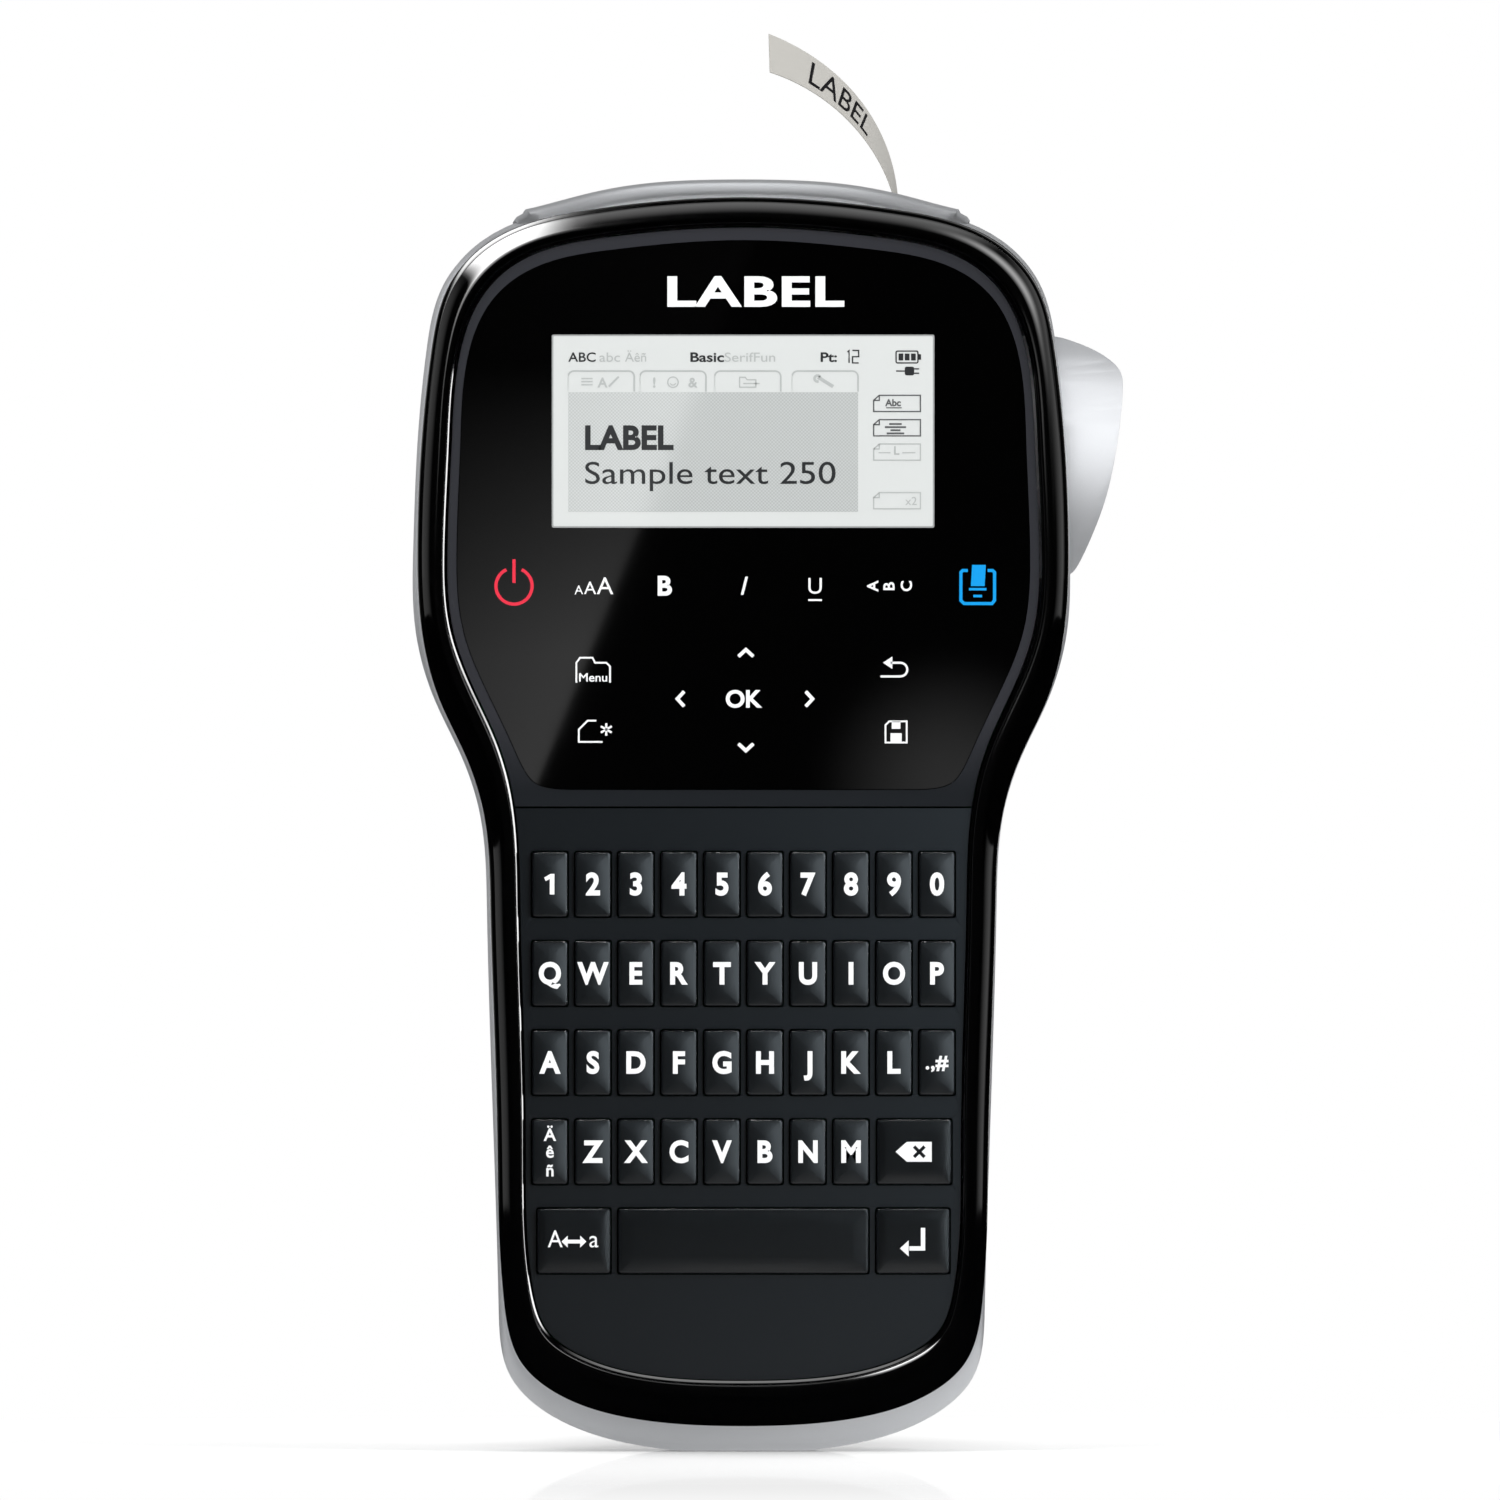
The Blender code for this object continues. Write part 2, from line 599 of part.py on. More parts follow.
def turned(name, profile, sides, material=None):
    """A turned piece along the depth, from (radius, depth) pairs that run front to back."""
    mesh = bpy.data.meshes.new(name)
    places = [(radius * MM, 0, -depth * MM) for radius, depth in profile]
    mesh.from_pydata(places, [(i, i + 1) for i in range(len(places) - 1)], [])
    obj = add_object(name, mesh, material)
    screw = obj.modifiers.new("turn", "SCREW")
    screw.axis = "Z"
    screw.steps = screw.render_steps = sides
    screw.use_merge_vertices = True
    screw.merge_threshold = 1e-6
    obj.rotation_euler = (math.radians(90), 0, 0)
    return obj


def make_platen():
    """Rubber roller on a shaft, with the feed gear on its back end."""
    front, back = SHAFT_DEPTHS
    profile = ((0, front), (SHAFT_RADIUS, front), (SHAFT_RADIUS, PLATEN_DEPTHS[0]),
               (PLATEN_RADIUS, PLATEN_DEPTHS[0]), (PLATEN_RADIUS, PLATEN_DEPTHS[1]),
               (SHAFT_RADIUS, PLATEN_DEPTHS[1]), (SHAFT_RADIUS, back), (0, back))
    platen = turned("platen_roller", [(r, d - FOOT_DEPTH) for r, d in profile], 20,
                    "platen_rubber")
    platen.location = (PLATEN[0] * MM, 0, PLATEN[1] * MM)
    teeth = []
    for tooth in range(GEAR_TEETH):
        for share, radius in ((0.0, GEAR_RADII[0]), (0.3, GEAR_RADII[0]), (0.45, GEAR_RADII[1]),
                              (0.85, GEAR_RADII[1])):
            angle = 2 * math.pi * (tooth + share) / GEAR_TEETH
            teeth.append((PLATEN[0] + radius * math.cos(angle),
                          PLATEN[1] + radius * math.sin(angle)))
    boolean(platen, plate("feed_gear", [teeth], GEAR_DEPTHS), "UNION")


def make_top_cover():
    """The raised cover over the tape exit: it follows the case's top and steps down at each end."""
    top = [*COVER_STEP[::-1], *COVER_TOP_HALF]
    edge = top + [(-x, z) for x, z in reversed(top[:-1])]
    case = outline(CASE_HALF, 4)
    under = [(x, z + FIT) for x, z in case if abs(x) < COVER_STEP[-1][0] and z > 150]
    cover = plate("top_cover", [[*edge, *sorted(under)]], COVER_DEPTHS, "silver_paint")
    boolean(cover, box("tape_slot_in_cover", (TAPE_X - SLOT_SIZE[0] / 2, 190),
                       (TAPE_X + SLOT_SIZE[0] / 2, 210), slot_depths()))


def bezier(handles, t):
    """A point on a cubic curve given by its four handles."""
    a, b, c, d = (np.array(handle) for handle in handles)
    return (1 - t) ** 3 * a + 3 * t * (1 - t) ** 2 * b + 3 * t * t * (1 - t) * c + t ** 3 * d


def make_label_strip():
    """The printed label: straight up through the slot, then curling over to the left."""
    bm = bmesh.new()
    rows = []
    for z in (LABEL_FOOT, 197.0):
        rows.append([at(TAPE_X, depth, z) for depth in TAPE_DEPTHS])
    for t in np.linspace(0, 1, 9):
        (front_x, front_z), (back_x, back_z) = bezier(LABEL_FRONT, t), bezier(LABEL_BACK, t)
        rows.append([at(front_x, TAPE_DEPTHS[0], front_z), at(back_x, TAPE_DEPTHS[1], back_z)])
    made = [[bm.verts.new(place) for place in row] for row in rows]
    for first, second in zip(made, made[1:]):
        bm.faces.new((first[0], first[1], second[1], second[0]))
    label = add_object("label_strip", mesh_from(bm, "label_strip"), "label_film")
    film = label.modifiers.new("film", "SOLIDIFY")
    film.thickness = TAPE_THICK * MM
    film.offset = 0


def make_cutter_lever():
    profile = [*LEVER_OUTER, *LEVER_INNER]
    lever = plate("cutter_lever", [profile], LEVER_DEPTHS, "silver_paint")
    bevel(lever, 1.0, segments=2, angle=50)
    move_origin(lever, at(LEVER_PIVOT[0], sum(LEVER_DEPTHS) / 2, LEVER_PIVOT[1]))


def make_cutter_blade():
    """The blade on its slide, with the arm that the lever pushes."""
    blade_depths = (TAPE_DEPTHS[0] - 2, TAPE_DEPTHS[1] + 1)
    slide = box("cutter_blade", (34.0, SLIDE_HEIGHTS[0]), (SLIDE_ARM[1][0], SLIDE_HEIGHTS[1]),
                (SLIDE_ARM[2][0], blade_depths[1]), "steel")
    boolean(slide, box("blade", (BLADE_TIP, BLADE_HEIGHTS[0]), (34.5, BLADE_HEIGHTS[1]),
                       (blade_depths[0], blade_depths[1] - 0.5)), "UNION")
    boolean(slide, box("slide_arm", *SLIDE_ARM), "UNION")


make_rear_case()
make_bezel()
make_top_cover()
make_display_overlay()
make_keypad_plate()
for key_name, (key_x, key_z), key_width in key_places():
    make_key(key_name, key_x, key_z, key_width)
make_lcd()
make_main_board()
make_chassis()
make_cassette()
make_battery()
make_motor()
make_print_head()
make_platen()
make_label_strip()
make_cutter_lever()
make_cutter_blade()
make_cassette_door()
make_battery_door()
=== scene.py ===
"""The looks of the hand-held label maker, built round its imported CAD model.

Sizes are in millimetres, X to the right and Z up. A "depth" is counted from the crown of the front
bezel towards the back, as in the CAD, and at() turns it into a place in metres.
"""

import itertools
import json
import math

import bmesh
import bpy
import numpy as np
from mathutils import Matrix, Vector

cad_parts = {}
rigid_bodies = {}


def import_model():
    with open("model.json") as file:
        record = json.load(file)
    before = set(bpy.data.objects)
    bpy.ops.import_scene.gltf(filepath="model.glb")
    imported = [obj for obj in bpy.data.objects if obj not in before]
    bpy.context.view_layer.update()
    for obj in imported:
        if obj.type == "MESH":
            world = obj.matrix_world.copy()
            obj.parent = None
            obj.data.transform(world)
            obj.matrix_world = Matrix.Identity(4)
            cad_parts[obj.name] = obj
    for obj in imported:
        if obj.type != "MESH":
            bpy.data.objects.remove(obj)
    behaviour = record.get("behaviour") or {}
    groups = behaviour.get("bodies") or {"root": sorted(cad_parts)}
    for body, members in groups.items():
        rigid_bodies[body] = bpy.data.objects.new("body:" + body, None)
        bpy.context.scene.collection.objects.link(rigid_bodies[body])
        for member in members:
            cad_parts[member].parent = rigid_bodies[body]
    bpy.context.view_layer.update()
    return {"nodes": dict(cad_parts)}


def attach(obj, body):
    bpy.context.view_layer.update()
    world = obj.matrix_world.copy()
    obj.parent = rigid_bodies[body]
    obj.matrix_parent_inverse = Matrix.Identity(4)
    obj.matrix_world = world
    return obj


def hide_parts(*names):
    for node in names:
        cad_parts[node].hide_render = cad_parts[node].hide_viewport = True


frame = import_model()
NODES = frame["nodes"]
MM = 0.001

# ---------------------------------------------------------------- sizes shared with the CAD
FOOT_DEPTH = 24.25
PANEL_DEPTH = 1.4
PANEL_THICK = 1.5
PARTING_DEPTH = 12.0
CASE_FULL_DEPTH = 15.5
HANDLE_DEPTH = 40.0
HEAD_DEPTH = 57.0
HEAD_SLOPE = (88.0, 124.0)
CASE_WALL = 2.0
SPINE = (30.0, 165.0)
SEAM_HEIGHT = 103.4
CASE_HALF = (
    (0, -0.45), (18.5, 1.2), (30.6, 5.6), (37.0, 11.6), (39.0, 23), (39.8, 50), (40.9, 88),
    (41.9, 102), (44.85, 111.5), (49.0, 120.3), (52.2, 131.5), (52.6, 146), (51.95, 162),
    (50.5, 177), (47.75, 187.7), (42.0, 194.3), (24.3, 200.2), (0, 202.1),
)
BEZEL_HALF = (
    (0, 4.1), (17.6, 5.3), (29.3, 9.0), (35.7, 14.4), (38.4, 24.3), (39.4, 50), (40.55, 88),
    (41.55, 102), (44.5, 111.6), (48.65, 120.5), (51.55, 131.6), (52.25, 146), (51.6, 162),
    (50.0, 176.9), (47.2, 187.2), (41.4, 193.7), (24.0, 199.4), (0, 201.3),
)
LIP_HALF = (
    (0, 11.4), (15.5, 12.3), (26.2, 15.4), (31.8, 19.6), (34.0, 26), (35.2, 50), (36.1, 88),
    (36.9, 103), (39.6, 113.6), (43.4, 122), (46.9, 131.5), (47.9, 145), (47.2, 162),
    (45.7, 177), (42.4, 185.3), (37.6, 190.3), (22, 195.1), (0, 196.7),
)
# The glass in front of the display, inside its matte grey band.
GLASS_TOP_HALF = (
    (37.2, 113.6), (41.2, 122), (44.9, 131.5), (46.0, 145), (45.4, 162), (43.9, 177),
    (40.5, 184.5), (35.6, 188.9), (20.8, 192.9), (0, 194.4),
)
GLASS_BOTTOM = 106.2
KEY_SIZE = (5.75, 10.45)
KEY_PITCH = (6.9, 14.3)
KEY_TOP_ROW = 91.05
KEY_ROWS = (
    ("digit_1", "digit_2", "digit_3", "digit_4", "digit_5", "digit_6", "digit_7", "digit_8",
     "digit_9", "digit_0"),
    ("q", "w", "e", "r", "t", "y", "u", "i", "o", "p"),
    ("a", "s", "d", "f", "g", "h", "j", "k", "l", "punctuation"),
    ("accents", "z", "x", "c", "v", "b", "n", "m"),
)
WIDE_KEYS = (("backspace", 3, 27.4, 12.0), ("shift", 4, -27.2, 11.8), ("space", 4, 0.0, 40.2),
             ("return", 4, 27.2, 11.8))
COVER_TOP_HALF = ((34.8, 199.5), (25.0, 202.0), (13.0, 203.9), (0.0, 204.3))
COVER_STEP = ((35.1, 198.9), (36.2, 198.3), (36.6, 197.7))
COVER_DEPTHS = (13.4, 47.0)
TAPE_X = 25.3
TAPE_DEPTHS = (27.5, 39.5)
SLOT_SIZE = (2.2, 14.0)
LABEL_FOOT = 193.0
LABEL_FRONT = ((24.9, 200.0), (23.2, 208.6), (16.0, 218.0), (4.6, 221.7))
LABEL_BACK = ((25.4, 201.0), (24.9, 211.5), (18.5, 222.5), (4.6, 228.0))
CASSETTE_DOOR = ((-37.0, 131.0), (37.0, 187.0))
BATTERY_DOOR = ((-24.5, 20.0), (24.5, 84.0))
DOOR_GAP = 0.35
DOOR_CORNER = 5.0
HINGE_X = 27.0
HINGE_LENGTH = 9.0
HINGE_RADIUS = 1.3
SCREWS = ((-28.0, 12.5), (28.0, 12.5), (-32.0, 93.0), (32.0, 93.0))
SCREW_WELL = (2.6, 1.2)
USB_HEIGHT = 150.0
USB_DEPTH = 23.0
USB_SIZE = (8.4, 3.4)
LEVER_DEPTHS = (17.0, 41.0)
LEVER_CURVE = ((46.4, 140.3), (50.4, 140.25), (52.5, 140.7), (54.1, 142.4), (56.6, 147.8),
               (58.7, 153.8), (60.1, 160.4), (60.95, 166.5), (61.25, 170.8), (61.05, 172.9),
               (60.0, 174.6), (57.6, 176.4), (54.4, 177.9), (50.4, 179.1), (45.4, 179.2))
LEVER_INNER = ((41.2, 177.8), (39.9, 176.4), (39.9, 172.0), (44.8, 166.0), (44.8, 141.8))
LEVER_WINDOW = ((39.0, 138.2), (64.0, 180.9))
FINE = 8  # straight stretches between two outline points


# ---------------------------------------------------------------- shapes
def at(x, depth, z):
    return Vector((x, depth - FOOT_DEPTH, z)) * MM


def closed_spline(points, steps):
    """Points on the smooth closed curve through the given ones, steps of them to each span."""
    points = np.array(points, float)
    count = len(points)
    following = np.roll(points, -1, axis=0)
    spans = np.linalg.norm(following - points, axis=1)
    system, right = np.zeros((count, count)), np.zeros((count, 2))
    for i in range(count):
        before, after = spans[i - 1], spans[i]
        system[i, i - 1] += after
        system[i, i] += 2 * (before + after)
        system[i, (i + 1) % count] += before
        right[i] = 3 * (after * (points[i] - points[i - 1]) / before
                        + before * (following[i] - points[i]) / after)
    slopes = np.linalg.solve(system, right)
    made = []
    for i in range(count):
        for t in np.arange(steps) / steps:
            made.append((1 + 2 * t) * (1 - t) ** 2 * points[i]
                        + t * (1 - t) ** 2 * spans[i] * slopes[i]
                        + t * t * (3 - 2 * t) * following[i]
                        - t * t * (1 - t) * spans[i] * slopes[(i + 1) % count])
    return np.array(made)


def open_spline(points, steps):
    """Points on a smooth curve from the first given point to the last."""
    points = [np.array(p, float) for p in points]
    before, after = 2 * points[0] - points[1], 2 * points[-1] - points[-2]
    ends = [before, *points, after]
    curve = []
    for a, b, c, d in zip(ends, ends[1:], ends[2:], ends[3:]):
        for t in np.arange(steps) / steps:
            curve.append(0.5 * (2 * b + (c - a) * t + (2 * a - 5 * b + 4 * c - d) * t * t
                                + (3 * b - a - 3 * c + d) * t ** 3))
    return [*curve, points[-1]]


def outline(half, steps=FINE):
    mirrored = [(-x, z) for x, z in reversed(half[1:-1])]
    return closed_spline([*half, *mirrored], steps)


def towards_spine(points, share):
    """An outline drawn in towards the upright line in its middle by a share of the way."""
    middle = np.column_stack([np.zeros(len(points)), np.clip(points[:, 1], *SPINE)])
    return points + (middle - points) * share


def clipped(points, inside):
    """The part of an outline where inside(z) is positive."""
    points = np.array(points, float)
    kept = []
    for start, end in zip(points, np.roll(points, -1, axis=0)):
        here, there = inside(start[1]), inside(end[1])
        if here >= 0:
            kept.append(tuple(start))
        if here * there < 0:
            kept.append(tuple(start + (end - start) * here / (here - there)))
    return kept


def inset(points, distance):
    """A closed outline moved in by a distance, with mitred corners."""
    points = np.array(points, float)
    if signed_area(points) < 0:
        points = points[::-1]
    ahead = np.roll(points, -1, axis=0) - points
    ahead /= np.maximum(np.linalg.norm(ahead, axis=1), 1e-9)[:, None]
    normal = np.column_stack([-ahead[:, 1], ahead[:, 0]])
    before = np.roll(normal, 1, axis=0)
    mitre = normal + before
    mitre /= np.maximum((mitre * normal).sum(1), 0.35)[:, None]
    return points + mitre * distance


def signed_area(points):
    following = np.roll(points, -1, axis=0)
    return float((points[:, 0] * following[:, 1] - following[:, 0] * points[:, 1]).sum()) / 2


def arc(x, z, radius, start, end, steps=16):
    angles = np.radians(np.linspace(start, end, steps + 1))
    return [(x + radius * math.cos(a), z + radius * math.sin(a)) for a in angles]


def circle(x, z, radius, sides):
    return arc(x, z, radius, 0, 360, sides)[:-1]


def rectangle(low, high):
    return [(low[0], low[1]), (high[0], low[1]), (high[0], high[1]), (low[0], high[1])]


def rounded_rectangle(low, high, radius, steps=6):
    (x0, z0), (x1, z1) = low, high
    return [*arc(x1 - radius, z0 + radius, radius, -90, 0, steps),
            *arc(x1 - radius, z1 - radius, radius, 0, 90, steps),
            *arc(x0 + radius, z1 - radius, radius, 90, 180, steps),
            *arc(x0 + radius, z0 + radius, radius, 180, 270, steps)]


def grown(low, high, by):
    """The corners of a rectangle that reaches further on every side."""
    return (low[0] - by, low[1] - by), (high[0] + by, high[1] + by)


def turned(points, degrees, x=0.0, z=0.0):
    """Points turned about the origin, then moved to a place."""
    a = math.radians(degrees)
    return [(x + dx * math.cos(a) - dz * math.sin(a), z + dx * math.sin(a) + dz * math.cos(a))
            for dx, dz in points]


def moved(points, x, z):
    return [(x + dx, z + dz) for dx, dz in points]


def ribbon(points, width, closed=False):
    """The outlines of a stroke of a width along a line: one outline, or two if it is closed."""
    points = np.array(points, float)
    ahead = np.roll(points, -1, axis=0) - points
    if not closed:
        ahead[-1] = ahead[-2]
    ahead /= np.linalg.norm(ahead, axis=1)[:, None]
    normal = np.column_stack([-ahead[:, 1], ahead[:, 0]])
    before = np.roll(normal, 1, axis=0)
    if not closed:
        before[0] = normal[0]
    mitre = normal + before
    mitre *= (width / np.maximum((mitre * normal).sum(1), 0.4))[:, None] / 2
    left, right = points + mitre, points - mitre
    if closed:
        return [left, right]
    return [np.vstack([left, right[::-1]])]


def placed(data, name="temporary"):
    """A new object in the scene."""
    obj = bpy.data.objects.new(name, data)
    bpy.context.scene.collection.objects.link(obj)
    return obj


def opened(*meshes):
    """The meshes as one that can be worked on. They are used up."""
    bm = bmesh.new()
    for mesh in meshes:
        bm.from_mesh(mesh)
        bpy.data.meshes.remove(mesh)
    return bm


def mesh_from(bm, name, recalculate=True):
    if recalculate:
        bmesh.ops.recalc_face_normals(bm, faces=bm.faces)
    mesh = bpy.data.meshes.new(name)
    bm.to_mesh(mesh)
    bm.free()
    return mesh


def loft(rings, around=False, caps=True, creases=()):
    """A mesh through rings of (x, depth, z) points, with sharp edges along some of the rings."""
    bm = bmesh.new()
    rows = [[bm.verts.new(at(*point)) for point in ring] for ring in rings]
    pairs = list(zip(rows, rows[1:])) + ([(rows[-1], rows[0])] if around else [])
    for first, second in pairs:
        for i in range(len(first)):
            j = (i + 1) % len(first)
            bm.faces.new((first[i], first[j], second[j], second[i]))
    if caps and not around:
        bm.faces.new(rows[0])
        bm.faces.new(rows[-1])
    for index in creases:
        row = rows[index]
        for first, second in zip(row, row[1:] + row[:1]):
            bm.edges.get((first, second)).smooth = False
    bmesh.ops.remove_doubles(bm, verts=bm.verts, dist=1e-7)
    bmesh.ops.dissolve_degenerate(bm, edges=bm.edges, dist=1e-7)
    return mesh_from(bm, "loft")


def flat_ring(points, depth):
    return [(x, depth, z) for x, z in points]


def from_curve(curve, matrix):
    drawn = placed(curve)
    bpy.context.view_layer.update()
    graph = bpy.context.evaluated_depsgraph_get()
    mesh = bpy.data.meshes.new_from_object(drawn.evaluated_get(graph))
    mesh.transform(matrix)
    bpy.data.objects.remove(drawn)
    bm = opened(mesh)
    bmesh.ops.remove_doubles(bm, verts=bm.verts, dist=2e-7)
    return mesh_from(bm, "drawn")


def filled(outlines, depths):
    """A flat piece from closed outlines in X and Z; outlines inside others are holes."""
    curve = bpy.data.curves.new("outline", "CURVE")
    curve.dimensions = "2D"
    curve.fill_mode = "BOTH"
    curve.extrude = (depths[1] - depths[0]) / 2 * MM
    for points in outlines:
        spline = curve.splines.new("POLY")
        spline.points.add(len(points) - 1)
        for point, (x, z) in zip(spline.points, points):
            point.co = (x * MM, z * MM, 0, 1)
        spline.use_cyclic_u = True
    matrix = (Matrix.Translation(at(0, sum(depths) / 2, 0))
              @ Matrix.Rotation(math.radians(90), 4, "X"))
    return from_curve(curve, matrix)


def font_curve(text, weight, spacing):
    curve = bpy.data.curves.new("words", "FONT")
    curve.body = text
    curve.size = 1
    curve.space_character = spacing
    curve.align_x = "CENTER"
    curve.fill_mode = "BOTH"
    curve.resolution_u = 5
    curve.offset = weight
    return curve


def flat_words(text, weight, spacing=1.0):
    """Words as a flat mesh of size 1, and the places of its points."""
    mesh = from_curve(font_curve(text, weight, spacing), Matrix.Identity(4))
    return mesh, np.array([v.co for v in mesh.vertices])


CAP_HEIGHT = float(np.ptp(flat_words("H", 0)[1][:, 1]))


def lettered(text, x, z, cap, depth, weight=0.0, width=None, angle=0.0, slant=0.0, align=0.5,
             thick=0.03, narrow=1.0, spacing=1.0):
    """Words as a thin mesh facing the front, its face at a depth. x and z are the place of the
    baseline's middle, or of its left end where align is 0; width fits the line to a width."""
    mesh, places = flat_words(text, weight, spacing)
    scale = cap / CAP_HEIGHT
    low, high = places[:, 0].min(), places[:, 0].max()
    across = scale * narrow if width is None else width / (high - low)
    sized = np.column_stack([(places[:, 0] - low - (high - low) * align) * across,
                             places[:, 1] * scale])
    sized[:, 0] += sized[:, 1] * slant
    for vertex, (point_x, point_z) in zip(mesh.vertices, turned(sized, angle, x, z)):
        vertex.co = at(point_x, depth + thick, point_z)
    bm = opened(mesh)
    bmesh.ops.recalc_face_normals(bm, faces=bm.faces)
    if sum(face.normal.y for face in bm.faces) > 0:
        bmesh.ops.reverse_faces(bm, faces=bm.faces)
    made = bmesh.ops.extrude_face_region(bm, geom=list(bm.faces))
    front = [v for v in made["geom"] if isinstance(v, bmesh.types.BMVert)]
    bmesh.ops.translate(bm, verts=front, vec=(0, -thick * MM, 0))
    return mesh_from(bm, "words")


def smooth(mesh, angle):
    """Smooth shading, with sharp edges above an angle, or only where they are already marked."""
    mesh.polygons.foreach_set("use_smooth", [True] * len(mesh.polygons))
    if angle is not None:
        mesh.set_sharp_from_angle(angle=math.radians(angle))


def piece(name, meshes, look, body, stands_for=(), angle=35, level=True):
    """A named piece of the object: one mesh from several, with its material, riding on a body.
    level keeps large flat faces flat in the shading, beside their rounded edges."""
    mesh = mesh_from(opened(*(meshes if isinstance(meshes, list) else [meshes])), name,
                     recalculate=False)
    smooth(mesh, angle)
    mesh.materials.append(look)
    obj = placed(mesh, name)
    if level:
        obj.modifiers.new("level", "WEIGHTED_NORMAL").keep_sharp = True
    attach(obj, body)
    if stands_for:
        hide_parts(*([stands_for] if isinstance(stands_for, str) else stands_for))
    return obj


def modified(mesh, *steps):
    """A mesh after modifiers, each given as (type, settings). A mesh among the settings of a
    Boolean is its other operand."""
    obj = placed(mesh)
    helpers = []
    for kind, settings in steps:
        modifier = obj.modifiers.new(kind.lower(), kind)
        for key, value in settings.items():
            if isinstance(value, bpy.types.Mesh):
                value = placed(value)
                helpers.append(value)
            setattr(modifier, key, value)
        if kind == "BOOLEAN":
            modifier.solver = "EXACT"
    bpy.context.view_layer.update()
    graph = bpy.context.evaluated_depsgraph_get()
    made = bpy.data.meshes.new_from_object(obj.evaluated_get(graph))
    for helper in [obj, *helpers]:
        bpy.data.objects.remove(helper)
    return made


def cut(mesh, *others, operation="DIFFERENCE"):
    steps = [("BOOLEAN", {"object": other, "operation": operation}) for other in others]
    return modified(mesh, *steps)


def bevelled(mesh, width, segments=2, angle=40):
    return modified(mesh, ("BEVEL", {"width": width * MM, "segments": segments,
                                     "limit_method": "ANGLE", "angle_limit": math.radians(angle),
                                     "harden_normals": False}))


def block(low, high, depths):
    return filled([rectangle(low, high)], depths)


def rod(x, z, radius, depths):
    return filled([circle(x, z, radius, 32)], depths)


# ---------------------------------------------------------------- materials
def wire(tree, made, inputs):
    """Sets a node's inputs, each given as a value or as the output it is linked to."""
    for name, value in inputs.items():
        if isinstance(value, bpy.types.NodeSocket):
            tree.links.new(value, made.inputs[name])
        else:
            made.inputs[name].default_value = value
    return made


def node(tree, kind, inputs=None, **settings):
    made = tree.nodes.new(f"ShaderNode{kind}")
    for name, value in settings.items():
        setattr(made, name, value)
    return wire(tree, made, inputs or {})


def object_place(tree):
    return node(tree, "TexCoord").outputs["Object"]


def coordinate(tree, vector, axis):
    return node(tree, "SeparateXYZ", {"Vector": vector}).outputs[axis]


def map_range(tree, value, low, high, to_low=0, to_high=1, **settings):
    return node(tree, "MapRange", {"Value": value, "From Min": low, "From Max": high,
                                   "To Min": to_low, "To Max": to_high},
                **settings).outputs["Result"]


def smooth_range(tree, *numbers):
    return map_range(tree, *numbers, interpolation_type="SMOOTHSTEP")


def mixed_colour(tree, share, first, second):
    return node(tree, "Mix", {"Factor": share, "A": (*first, 1), "B": (*second, 1)},
                data_type="RGBA").outputs["Result"]


def mixed_shader(tree, share, first, second=None):
    inputs = {"Fac": share, 1: first}
    if second:
        inputs[2] = second
    return node(tree, "MixShader", inputs).outputs["Shader"]


def material(name, colour, roughness, metallic=0.0, coat=0.0, grain=None, specular=0.5):
    """A Principled material. grain is (size in mm, colour change, roughness change, bump in mm)."""
    made = bpy.data.materials.new(name)
    made.use_nodes = True
    tree = made.node_tree
    shader = wire(tree, tree.nodes["Principled BSDF"], {
        "Base Color": (*colour, 1), "Roughness": roughness, "Metallic": metallic,
        "Coat Weight": coat, "Specular IOR Level": specular})
    varied = {}
    if grain:
        size, colour_change, roughness_change, bump = grain
        noise = node(tree, "TexNoise", {"Vector": object_place(tree), "Scale": 1 / (size * MM),
                                        "Detail": 3}).outputs["Fac"]
        if colour_change:
            shades = ([min(1, c * (1 + change)) for c in colour]
                      for change in (-colour_change, colour_change))
            varied["Base Color"] = mixed_colour(tree, noise, *shades)
        if roughness_change:
            varied["Roughness"] = map_range(tree, noise, 0, 1, roughness - roughness_change,
                                            roughness + roughness_change)
        if bump:
            varied["Normal"] = node(tree, "Bump", {"Strength": 1, "Distance": bump * MM,
                                                   "Height": noise}).outputs["Normal"]
    wire(tree, shader, varied)
    return made


def with_colour(made, colour):
    wire(made.node_tree, made.node_tree.nodes["Principled BSDF"], {"Base Color": colour})
    return made


def band_material(name, upper, lower, roughness, heights):
    """A matte plastic that shades from one colour to another between two heights."""
    made = material(name, upper, roughness, grain=(0.25, 0, 0.05, 0.002))
    tree = made.node_tree
    share = map_range(tree, coordinate(tree, object_place(tree), "Z"), heights[0] * MM,
                      heights[1] * MM)
    return with_colour(made, mixed_colour(tree, share, lower, upper))


def dotted_material(name, light, dark, pitch):
    """The fine dots of a display's cells: a checker laid over X and Z only."""
    made = material(name, light, 0.5, coat=1.0)
    tree = made.node_tree
    cells = node(tree, "VectorMath", {0: object_place(tree),
                                      1: (1 / (pitch * MM), 0, 1 / (pitch * MM))},
                 operation="MULTIPLY")
    checker = node(tree, "TexChecker", {"Vector": cells.outputs["Vector"], "Scale": 1,
                                        "Color1": (*light, 1), "Color2": (*dark, 1)})
    return with_colour(made, checker.outputs["Color"])


def ink(name, colour, change):
    return material(name, colour, 0.35, grain=(0.3, change, 0.04, 0.0))


def display_look(name, colour, change, roughness=0.5):
    return material(name, colour, roughness, coat=1.0, grain=(0.2, change, 0.03, 0.0))


